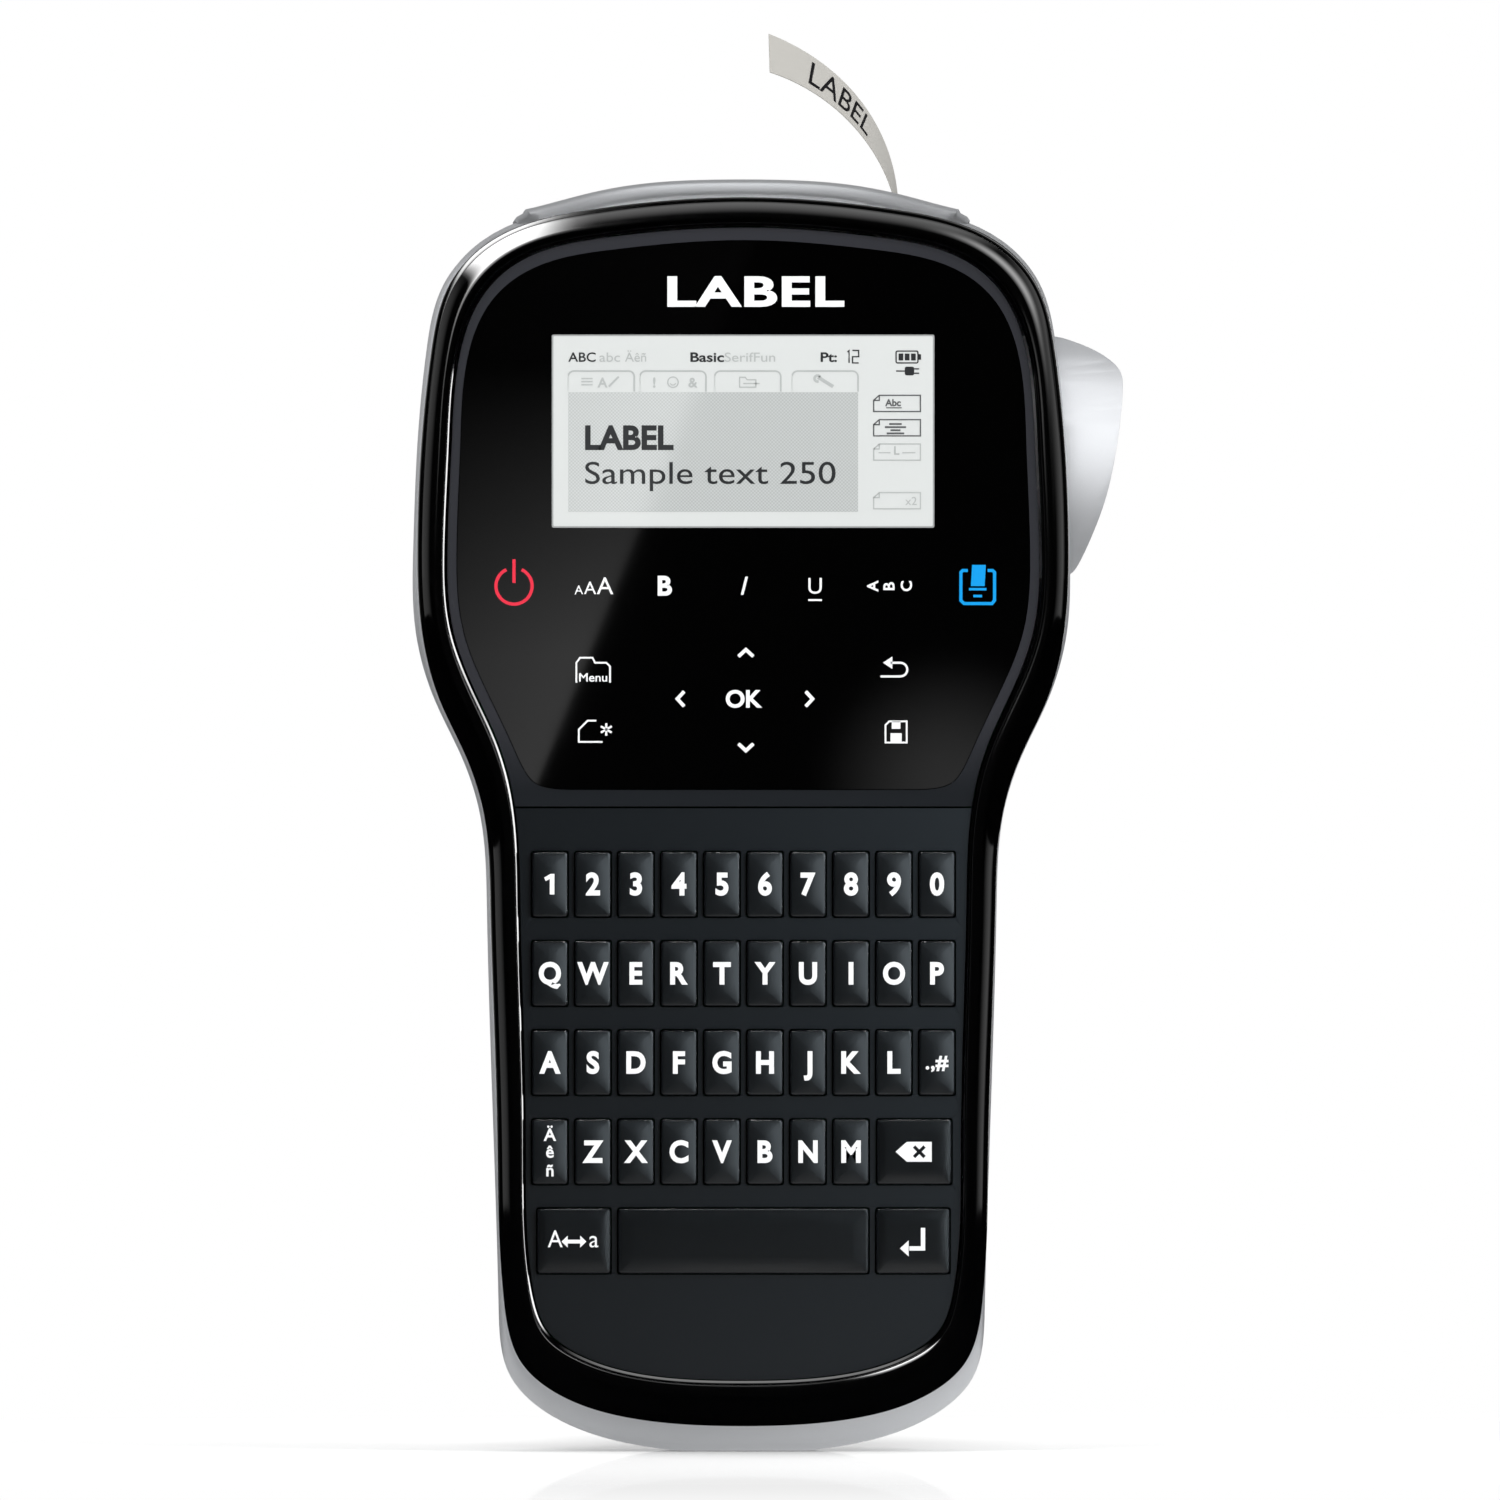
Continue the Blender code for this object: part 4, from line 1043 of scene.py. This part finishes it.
def make_lcd():
    edge = rounded_rectangle(*grown(LCD_LOW, LCD_HIGH, 0.25), 0.3, 3)
    sheet = rounded_rectangle(LCD_LOW, LCD_HIGH, 0.2, 3)
    field = rectangle(FIELD_LOW, FIELD_HIGH)
    return [piece(name, marks, look, "housing") for name, marks, look in (
        ("lcd_edge", flat([edge], LCD_LIFTS[0]), LCD_EDGE),
        ("lcd_sheet", flat([sheet], LCD_LIFTS[1]), LCD_PALE),
        ("lcd_text_field", flat([field], LCD_LIFTS[2]), LCD_FIELD),
        ("lcd_dark_marks", dark_marks(), LCD_DARK),
        ("lcd_middle_marks", middle_marks(), LCD_MIDDLE),
        ("lcd_grey_marks", grey_marks(), LCD_GREY))]


# ---------------------------------------------------------------- label and lever
def bezier(handles, t):
    a, b, c, d = (np.array(handle) for handle in handles)
    return (1 - t) ** 3 * a + 3 * t * (1 - t) ** 2 * b + 3 * t * t * (1 - t) * c + t ** 3 * d


def label_point(t, across):
    """A point on the label: t from the slot (0) to the free end (1), across from front to back."""
    front, back = bezier(LABEL_FRONT, t), bezier(LABEL_BACK, t)
    x, z = front + (back - front) * across
    depth = TAPE_DEPTHS[0] + (TAPE_DEPTHS[1] - TAPE_DEPTHS[0]) * across
    return np.array(at(x, depth, z))


def label_normal(t, across):
    """The direction out of the label's front face."""
    step = 0.002
    along = label_point(t + step, across) - label_point(t - step, across)
    wide = label_point(t, min(across + step, 1)) - label_point(t, max(across - step, 0))
    normal = np.cross(wide, along)
    return normal / (np.linalg.norm(normal) * (-1 if normal[1] > 0 else 1))


LABEL_THICK, INK_LIFT = 0.15, 0.12
WORD_SPAN = (0.81, 0.42)  # where the word on the label starts and ends, as t
WORD_FOOT, WORD_CAP = 0.17, 0.66  # its baseline and letter height, as shares of the width


def slice_across(bm, places, axis):
    """More edges across a mesh, so that it can bend."""
    normal = Vector([float(i == axis) for i in range(3)])
    for place in places:
        bmesh.ops.bisect_plane(bm, geom=[*bm.verts, *bm.edges, *bm.faces],
                               plane_co=normal * place, plane_no=normal)


def make_label():
    columns = 9
    width = TAPE_DEPTHS[1] - TAPE_DEPTHS[0]
    bm = bmesh.new()
    shares = [c / (columns - 1) for c in range(columns)]
    rows = [[at(TAPE_X, TAPE_DEPTHS[0] + width * share, z) for share in shares]
            for z in (LABEL_FOOT, 196.0, 198.5)]
    rows += [[Vector(label_point(t, share)) for share in shares] for t in np.linspace(0, 1, 48)]
    made = [[bm.verts.new(place) for place in row] for row in rows]
    for first, second in zip(made, made[1:]):
        for c in range(columns - 1):
            bm.faces.new((first[c], first[c + 1], second[c + 1], second[c]))
    film = modified(mesh_from(bm, "label"), ("SOLIDIFY", {"thickness": LABEL_THICK * MM,
                                                          "offset": 0}))
    piece("label_film", film, LABEL_FILM, "housing", "label_strip", angle=60)
    mesh, places = flat_words("LABEL", 0.0)
    low, high = places[:, 0].min(), places[:, 0].max()
    bm = opened(mesh)
    slice_across(bm, np.linspace(low, high, 60)[1:-1], 0)
    mesh = mesh_from(bm, "label_words", recalculate=False)
    places = np.array([v.co for v in mesh.vertices])
    start, end = WORD_SPAN
    for vertex, (x, y) in zip(mesh.vertices, places[:, :2]):
        t = start + (end - start) * (x - low) / (high - low)
        across = WORD_FOOT + WORD_CAP * y / CAP_HEIGHT
        vertex.co = Vector(label_point(t, across) + label_normal(t, across) * INK_LIFT * MM)
    piece("label_words", mesh, LABEL_INK, "housing")


LEVER_MIDDLE = 159.5
LEVER_HALF = 20.0
LEVER_SAG = 2.6


def make_lever():
    """The lever's front and back faces bow a little from top to bottom."""
    edge = open_spline(LEVER_CURVE, 5)
    mesh = bevelled(filled([[*edge, *LEVER_INNER]], LEVER_DEPTHS), 0.8, 6, angle=50)
    bm = opened(mesh)
    slice_across(bm, np.arange(140.5, 178.5, 1.5) * MM, 2)
    front, back = (at(0, depth, 0).y for depth in LEVER_DEPTHS)
    for vertex in bm.verts:
        sag = LEVER_SAG * MM * ((vertex.co.z / MM - LEVER_MIDDLE) / LEVER_HALF) ** 2
        share = 1 - 2 * (vertex.co.y - front) / (back - front)
        vertex.co.y += sag * share
    piece("lever_shell", mesh_from(bm, "lever"), SILVER, "lever",
          "cutter_lever", angle=50, level=False)


def make_screws():
    heads = []
    for x, z in SCREWS:
        back = float(rear_depth(z))
        head = rod(x, z, SCREW_WELL[0] - 0.25, (back - SCREW_WELL[1] - 0.2, back - 0.35))
        for low, high in (((x - 1.4, z - 0.3), (x + 1.4, z + 0.3)),
                          ((x - 0.3, z - 1.4), (x + 0.3, z + 1.4))):
            head = cut(head, block(low, high, (back - 0.95, back + 1)))
        heads.append(bevelled(head, 0.12, 2))
    piece("screw_heads", heads, STEEL, "housing")


# How far out on the left side the socket's parts start and end.
USB_SHELL_REACH, USB_TONGUE_REACH, USB_BACK_REACH = (46.0, 52.2), (46.0, 51.2), (45.5, 46.2)
USB_TONGUE_HALF = (0.45, 2.8)


def sideways(outlines, reach):
    """A flat piece that faces left: its outlines are given in depth from the foot and in Z."""
    mesh = filled(outlines, [FOOT_DEPTH + out for out in reach])
    mesh.transform(Matrix.Rotation(math.radians(90), 4, "Z"))
    return mesh


def make_usb():
    """The socket's metal shell and tongue, seen in the opening on the left side."""
    depth = USB_DEPTH - FOOT_DEPTH
    deep, up = USB_TONGUE_HALF
    low, high = ((depth + side * USB_SIZE[1] / 2, USB_HEIGHT + side * USB_SIZE[0] / 2)
                 for side in (-1, 1))
    rings = [rounded_rectangle(*grown(low, high, -inward), 0.5, 4) for inward in (0.1, 0.4)]
    tongue = rectangle((depth - deep, USB_HEIGHT - up), (depth + deep, USB_HEIGHT + up))
    piece("socket_shell", sideways(rings, USB_SHELL_REACH), STEEL, "housing")
    piece("socket_tongue", [sideways([tongue], USB_TONGUE_REACH),
                            sideways([rectangle(low, high)], USB_BACK_REACH)],
          DARK_PLASTIC, "housing")


GRIP_RIDGES = (26.0, 27.8, 29.6, 31.4, 33.2)


def make_grips():
    ridges = []
    for index, z in enumerate(GRIP_RIDGES):
        half = 9.0 - index * 0.9
        bar = filled([rounded_rectangle((-half, z - 0.45), (half, z + 0.45), 0.44, 5)],
                     (HANDLE_DEPTH - 0.4, HANDLE_DEPTH + 0.45))
        ridges.append(bevelled(bar, 0.2, 3))
    piece("battery_door_ridges", ridges, SILVER, "battery_cover")


SPOOLS = ((-14.0, 163.0, 4.6), (6.5, 163.0, 3.4))
CASSETTE_BACK, BATTERY_BACK = 43.0, 35.5
BATTERY_BORDER = ((-19.0, 27.0), (19.0, 70.0))
CONTACT_MIDDLES = (-9.0, -3.0, 3.0, 9.0)


def make_cassette_details():
    """The spool hubs and the roll of tape, seen on the back of the cassette."""
    hubs = []
    for x, z, radius in SPOOLS:
        teeth = []
        for middle in range(0, 360, 60):
            teeth += arc(x, z, radius * 0.62, middle - 18, middle + 18, 6)
            teeth += arc(x, z, radius * 0.40, middle + 24, middle + 36, 3)
        hubs.append(bevelled(filled([circle(x, z, radius, 48), teeth],
                                    (CASSETTE_BACK - 1.1, CASSETTE_BACK - 0.1)), 0.12, 2))
    piece("cassette_hubs", hubs, SPOOL_WHITE, "housing")
    x, z, radius = SPOOLS[0]
    rolls = [filled([circle(x, z, turn + 0.24, 64), circle(x, z, turn, 64)],
                    (CASSETTE_BACK - 1.1, CASSETTE_BACK - 0.4))
             for turn in np.arange(radius + 0.1, 6.6, 0.34)]
    piece("tape_roll", rolls, TAPE_ROLL, "housing")


def make_battery_details():
    pads = [filled([rounded_rectangle((x - 1.6, 74.0), (x + 1.6, 78.0), 0.3, 3)],
                   (BATTERY_BACK - 0.2, BATTERY_BACK + 0.12)) for x in CONTACT_MIDDLES]
    piece("battery_contacts", pads, BRASS, "housing")
    border = filled(ribbon(rounded_rectangle(*BATTERY_BORDER, 2.0), 0.5, closed=True),
                    (BATTERY_BACK - 0.2, BATTERY_BACK + 0.08))
    piece("battery_border", border, CASSETTE_GREY, "housing")


shell = case_shell()
make_rear_case(shell)
make_doors(shell)
bezel, lip = make_bezel()
make_top_cover()
glass = make_overlay()
make_panel()
make_keys()
behind_glass = [*make_icons(), *make_lcd()]
make_label()
make_lever()
make_screws()
make_usb()
make_grips()
make_cassette_details()
make_battery_details()
for node_name, look in (("main_board", BOARD_GREEN), ("chassis", DARK_PLASTIC),
                        ("tape_cassette", CASSETTE_GREY), ("battery_pack", BATTERY_WRAP),
                        ("feed_motor", STEEL), ("print_head", STEEL),
                        ("platen_roller", RUBBER), ("cutter_blade", STEEL),
                        ("lcd_module", DARK_PLASTIC)):
    for slot in NODES[node_name].material_slots:
        slot.material = look


# ---------------------------------------------------------------- stage, light and camera
def light_path(tree, kind):
    return node(tree, "LightPath").outputs[kind]


def make_world():
    """White to the camera. To the object, dark in front and bright behind it."""
    world = bpy.data.worlds.new("studio")
    bpy.context.scene.world = world
    world.use_nodes = True
    tree = world.node_tree
    tree.nodes.clear()
    behind = coordinate(tree, node(tree, "TexCoord").outputs["Generated"], "Y")
    strength = smooth_range(tree, behind, -0.1, 0.45, 0.015, 0.30)
    lit = node(tree, "Background", {"Strength": strength}).outputs["Background"]
    seen = node(tree, "Background", {"Color": (1, 1, 1, 1)}).outputs["Background"]
    node(tree, "OutputWorld",
         {"Surface": mixed_shader(tree, light_path(tree, "Is Camera Ray"), lit, seen)})


def lights_only(source, targets, leave_out=False):
    """Makes a light act on some pieces only, or on all but those."""
    group = bpy.data.collections.new(f"lit_by_{source.name}")
    for obj in targets:
        group.objects.link(obj)
    if leave_out:
        for member in group.collection_objects:
            member.light_linking.link_state = "EXCLUDE"
    source.light_linking.receiver_collection = group


LIGHT_AIM = (0, 0, 0.1)


def area_light(name, place, size, power, only=(), without=(), aim=LIGHT_AIM, glossy=False):
    """A soft light on some pieces only, or on all but some."""
    data = bpy.data.lights.new(name, "AREA")
    data.shape = "RECTANGLE"
    data.size, data.size_y = size
    data.energy = power
    obj = placed(data, name)
    obj.location = place
    obj.rotation_euler = (Vector(aim) - Vector(place)).to_track_quat("-Z", "Y").to_euler()
    obj.visible_glossy = glossy
    obj.visible_camera = False
    lights_only(obj, only or without, leave_out=not only)
    return data


def only_in_reflections(obj):
    for kind in ("camera", "diffuse", "transmission", "shadow"):
        setattr(obj, f"visible_{kind}", False)


def empty_look(name):
    look = bpy.data.materials.new(name)
    look.use_nodes = True
    look.node_tree.nodes.clear()
    return look, look.node_tree


def glowing(name, colour=(1, 1, 1)):
    """A clear material that only adds light: its tree, and the socket for the strength."""
    look, tree = empty_look(name)
    glow = node(tree, "Emission", {"Color": (*colour, 1)})
    both = node(tree, "AddShader", {0: glow.outputs["Emission"],
                                    1: node(tree, "BsdfTransparent").outputs["BSDF"]})
    node(tree, "OutputMaterial", {"Surface": both.outputs["Shader"]})
    return look, tree, glow.inputs["Strength"]


SLATE = (0.80, 0.92, 1.0)


def ramp(x):
    x = min(max(x, 0), 1)
    return x * x * (3 - 2 * x)


DOME_MIDDLE = Vector((0, 0, 0.12))
DOME_RADIUS, DOME_STEP = 1.2, 0.02  # each card has a dome of its own, a step further out
CARD_NUMBERS = itertools.count(1)


def glowing_mesh(name, places, faces, levels, colour=(1, 1, 1)):
    """A patch whose glow has its own level at each point."""
    mesh = bpy.data.meshes.new(name)
    mesh.from_pydata(places, [], faces)
    mesh.attributes.new("level", "FLOAT", "POINT").data.foreach_set("value", levels)
    obj = placed(mesh, name)
    only_in_reflections(obj)
    look, tree, power = glowing(name, colour)
    level = node(tree, "Attribute", attribute_name="level")
    tree.links.new(level.outputs["Fac"], power)
    mesh.materials.append(look)
    return obj


def card(name, bearings, tilts, strength, targets, sides=(0.3, 0.3), inner=0.5, outer=0.1,
         colour=(1, 1, 1)):
    """A glowing patch of a dome round the object, seen in the reflections of some pieces only.
    bearings run round the line of sight from the right towards the top, and tilts away from the
    camera's side. sides, inner and outer are the shares over which it fades out."""
    steps = 24
    radius = DOME_RADIUS + DOME_STEP * next(CARD_NUMBERS)
    places, levels = [], []
    for i in range(steps + 1):
        for j in range(steps + 1):
            u, v = i / steps, j / steps
            bearing = math.radians(bearings[0] + (bearings[1] - bearings[0]) * u)
            tilt = math.radians(tilts[0] + (tilts[1] - tilts[0]) * v)
            places.append(DOME_MIDDLE + radius * Vector(
                (math.sin(tilt) * math.cos(bearing), -math.cos(tilt),
                 math.sin(tilt) * math.sin(bearing))))
            level = strength
            for share, fade in ((u, sides[0]), (1 - u, sides[1]), (v, inner), (1 - v, outer)):
                level *= ramp(share / max(fade, 1e-3))
            levels.append(level)
    row = steps + 1
    faces = [(i * row + j, i * row + j + 1, (i + 1) * row + j + 1, (i + 1) * row + j)
             for i in range(steps) for j in range(steps)]
    lights_only(glowing_mesh(name, places, faces, levels, colour), targets)


CAMERA_DISTANCE = 8.0
CAMERA_TURN = math.radians(0.8)
CAMERA_AIM = at(1.04, 0, 112.6)
CAMERA_PLACE = CAMERA_AIM + CAMERA_DISTANCE * Vector(
    (-math.sin(CAMERA_TURN), -math.cos(CAMERA_TURN), 0))
GLARE_REACH = 1.0
GLARE_CORNERS = ((2.6, 196.0), (-34.0, 105.0), (-47.0, 105.0), (-47.0, 196.0))
GLARE_FADE = (0.24, 0.75)  # where its strength changes, as shares of the way down
GLARE_SOFTNESS = 0.058
FRAME_WIDTH = 0.2406  # how much of the object's plane the picture takes in, across
SENSOR = 36
WHITE_FLOOR, FLOOR_LIFT = 0.80, 0.22


def mirrored_at(x, z, reach):
    """The place, a reach in front of the glass, that the camera sees mirrored in it at a point."""
    on_glass = at(x, PANEL_DEPTH, z)
    place = on_glass + (on_glass - CAMERA_PLACE) * (reach / CAMERA_DISTANCE)
    place.y = on_glass.y - reach
    return place


def make_glare_card(name, reach, strength, strength_above):
    """The slanted reflection on the glass: a card whose right edge leans, placed so that the
    camera sees it mirrored between the given points of the glass."""
    bm = bmesh.new()
    corners = [bm.verts.new(mirrored_at(x, z, reach)) for x, z in GLARE_CORNERS]
    bm.faces.new(corners)
    top, foot = corners[0].co.copy(), corners[1].co.copy()
    edge = (top - foot).normalized()
    across = Vector((edge.z, 0, -edge.x))
    obj = placed(mesh_from(bm, name, recalculate=False), name)
    only_in_reflections(obj)
    look, tree, power = glowing(name)
    place = object_place(tree)
    inward = node(tree, "VectorMath", {0: place, 1: tuple(across)}, operation="DOT_PRODUCT")
    right = foot.dot(across)
    beside = map_range(tree, inward.outputs["Value"], right - GLARE_SOFTNESS, right)
    fade = (top.z + share * (foot.z - top.z) for share in GLARE_FADE)
    downwards = map_range(tree, coordinate(tree, place, "Z"), *fade, strength_above, strength)
    level = node(tree, "Math", {0: beside, 1: downwards}, operation="MULTIPLY")
    tree.links.new(level.outputs["Value"], power)
    obj.data.materials.append(look)
    return obj


def make_soft_spot(x, z, radius, strength):
    """A round glow that fades outwards, mirrored by the glass round the given point."""
    middle = mirrored_at(x, z, GLARE_REACH)
    rings, sides = 10, 32
    places, levels = [middle], [strength]
    for ring in range(1, rings + 1):
        for side in range(sides):
            angle = 2 * math.pi * side / sides
            reach = radius * MM * ring / rings
            places.append(middle + reach * Vector((math.cos(angle), 0, math.sin(angle))))
            levels.append(strength * ramp(1 - ring / rings))
    faces = [(0, 1 + side, 1 + (side + 1) % sides) for side in range(sides)]
    for ring in range(rings - 1):
        for side in range(sides):
            a, b = 1 + ring * sides + side, 1 + ring * sides + (side + 1) % sides
            faces.append((a, b, b + sides, a + sides))
    return glowing_mesh("soft_spot", places, faces, levels)


# The painted shadow on the floor: how far behind the foot its oval's middle lies, the oval's reach
# across and front to back, and how far it darkens the floor at the middle.
PAINTED_SHADOW_BEHIND = 0.07
PAINTED_SHADOW_REACH = (0.052, 0.20)
PAINTED_SHADOW_LEVEL = 0.55
FLOOR_SHINE = 0.27


def make_floor():
    """A white floor, a little shiny, with a painted soft shadow round the foot, an oval reaching
    further behind it than in front. Reflections on the object see only the near part of it, as a
    painted glow brighter on its right."""
    bm = bmesh.new()
    bmesh.ops.create_circle(bm, cap_ends=True, segments=96, radius=6.0)
    floor = placed(mesh_from(bm, "floor", recalculate=False), "floor")
    look, tree = empty_look("floor")

    def length(vector):
        return node(tree, "VectorMath", {0: vector}, operation="LENGTH").outputs["Value"]

    def light(**inputs):
        return node(tree, "Emission", inputs).outputs["Emission"]

    place = object_place(tree)
    reach = length(place)
    diffuse = node(tree, "BsdfDiffuse", {"Color": (WHITE_FLOOR, WHITE_FLOOR, WHITE_FLOOR, 1)})
    lifted = node(tree, "AddShader", {0: diffuse.outputs["BSDF"], 1: light(Strength=FLOOR_LIFT)})
    body = mixed_shader(tree, smooth_range(tree, reach, 0.05, 0.45), lifted.outputs["Shader"],
                        light())
    squeezed = node(tree, "Mapping", {"Location": (0, PAINTED_SHADOW_BEHIND, 0),
                                      "Scale": (*PAINTED_SHADOW_REACH, 1), "Vector": place},
                    vector_type="TEXTURE")
    # Painted shadow: the floor is mixed towards black inside the oval, most at its middle.
    shadow = smooth_range(tree, length(squeezed.outputs["Vector"]), 0, 1, PAINTED_SHADOW_LEVEL, 0)
    shine = node(tree, "BsdfGlossy", {"Roughness": 0.02}).outputs["BSDF"]
    shiny = mixed_shader(tree, smooth_range(tree, reach, 0.1, 0.8, FLOOR_SHINE, 0),
                         mixed_shader(tree, shadow, body), shine)
    # To reflections on the object the floor is a painted glow: brighter on its right than on its
    # left, fading out away from the foot.
    level = node(tree, "Math", {0: smooth_range(tree, reach, 0.10, 0.30, 1, 0),
                                1: smooth_range(tree, coordinate(tree, place, "X"), -0.06, 0.02,
                                                0.34, 0.66)}, operation="MULTIPLY")
    mirrored = light(Strength=level.outputs["Value"])
    node(tree, "OutputMaterial", {"Surface": mixed_shader(
        tree, light_path(tree, "Is Glossy Ray"), shiny, mirrored)})
    floor.data.materials.append(look)
    return floor


def make_backdrop():
    """A white wall all round, seen only in the floor."""
    sides, far, high = 24, 1.5, 1.6
    places = [(*point, height) for height in (0, high) for point in circle(0, 0, far, sides)]
    faces = [(i, (i + 1) % sides, sides + (i + 1) % sides, sides + i) for i in range(sides)]
    return glowing_mesh("backdrop", places, faces, [1.0] * len(places))


def make_camera():
    data = bpy.data.cameras.new("camera")
    camera = placed(data, "camera")
    camera.location = CAMERA_PLACE
    camera.rotation_euler = (math.radians(90), 0, -CAMERA_TURN)
    data.sensor_width = SENSOR
    data.lens = SENSOR * CAMERA_DISTANCE / FRAME_WIDTH
    data.clip_end = 50
    bpy.context.scene.camera = camera


def named(*names):
    return [bpy.data.objects[name] for name in names]


plate, shell_skin, cover_skin, lever_skin = named("keypad_face", "rear_shell", "top_cover_skin",
                                                  "lever_shell")
caps = [obj for obj in bpy.data.objects if obj.name.startswith("cap_")]
wide_caps = named(*(f"cap_{name}" for name, *_ in WIDE_KEYS))
narrow_caps = [obj for obj in caps if obj not in wide_caps]
gloss = [bezel, lip, glass]

make_world()
floor = make_floor()
lights_only(floor, gloss, leave_out=True)
lights_only(make_glare_card("glare", GLARE_REACH, 0.95, 0.02), [glass, *behind_glass])
lights_only(make_glare_card("display_glare", 1.02 * GLARE_REACH, 2.4, 2.4),
            named("lcd_text_field"))
lights_only(make_soft_spot(33, 107, 26, 0.6), [glass])
lights_only(make_backdrop(), [floor])
area_light("soft_left", (-0.55, -0.85, 0.75), (0.5, 0.5), 8,
           without=[*gloss, *caps, plate, cover_skin, lever_skin, shell_skin])
area_light("shell_soft_left", (-1.0, -0.3, 0.5), (0.5, 0.5), 4, only=[shell_skin])
area_light("soft_right", (0.7, -0.65, 0.6), (0.45, 0.6), 8,
           without=[*gloss, *caps, plate, cover_skin, shell_skin])
area_light("soft_top", (0.0, -0.1, 1.0), (0.6, 0.6), 4, without=[*gloss, plate])
area_light("rim_left", (-1.0, 0.35, 0.4), (0.5, 0.8), 2, without=gloss)
area_light("rim_right", (1.0, 0.35, 0.4), (0.5, 0.8), 2, without=gloss)
area_light("soft_back", (0.2, 1.1, 0.6), (0.8, 0.6), 5, without=gloss)
area_light("front_low", (0.45, -0.85, 0.05), (0.5, 0.3), 3, only=[shell_skin], aim=(0, 0, 0.06))
area_light("panel_glow", (0.13, -0.14, 0.13), (0.12, 0.2), 0.24, only=[plate],
           aim=(0.01, 0, 0.06), glossy=True).color = (0.72, 0.88, 1.0)
card("card_upper_left", (98, 142), (2, 106), 28, [bezel], sides=(0.28, 0.28), inner=0.13)
card("card_top", (50, 130), (14, 103), 2.2, [bezel], inner=0.9)
card("card_upper_right", (4, 80), (12, 82), 9, [bezel], sides=(0.4, 0.4), inner=0.6, outer=0.5)
card("card_right", (-30, 55), (40, 103), 1.0, [bezel], inner=0.9)
card("card_left", (135, 215), (50, 109), 0.6, [bezel], inner=0.6)
card("step_right", (-30, 40), (136, 146), 9, [bezel], inner=0.1)
card("lip_right", (-40, 40), (55, 88), 24, [lip], inner=0.05, outer=0.02)
card("lip_top", (50, 130), (36, 86), 4.5, [lip], inner=0.2, outer=0.1)
card("lip_left", (180, 250), (62, 86), 4, [lip], inner=0.2, outer=0.1)
card("cover_front", (68, 112), (5, 110), 1.25, [cover_skin], sides=(0.5, 0.5), inner=0.2)
card("shell_left", (120, 195), (5, 110), 0.5, [shell_skin], inner=0.2)
card("lever_front", (0, 360), (0, 35), 2.2, [lever_skin], sides=(0, 0), inner=0, outer=0.6)
card("lever_rim", (50, 130), (60, 110), 0.8, [lever_skin], inner=0.3)
card("caps_right", (-70, 80), (0, 88), 3.9, narrow_caps, sides=(0.5, 0.3), inner=0.32, outer=0.2,
     colour=SLATE)
card("caps_front", (0, 360), (0, 40), 0.26, narrow_caps, sides=(0, 0), inner=0, outer=0.8,
     colour=SLATE)
card("wide_right", (-25, 75), (4, 88), 2.8, wide_caps, inner=0.4, outer=0.2, colour=SLATE)
card("caps_overhead", (50, 130), (70, 125), 12, caps, inner=0.3)
card("caps_side", (-30, 30), (75, 120), 15, caps, inner=0.3)
card("plate_overhead", (50, 130), (70, 125), 2.5, [plate], inner=0.3)
make_camera()
view = bpy.context.scene.view_settings
view.view_transform = "Standard"
view.look = "None"
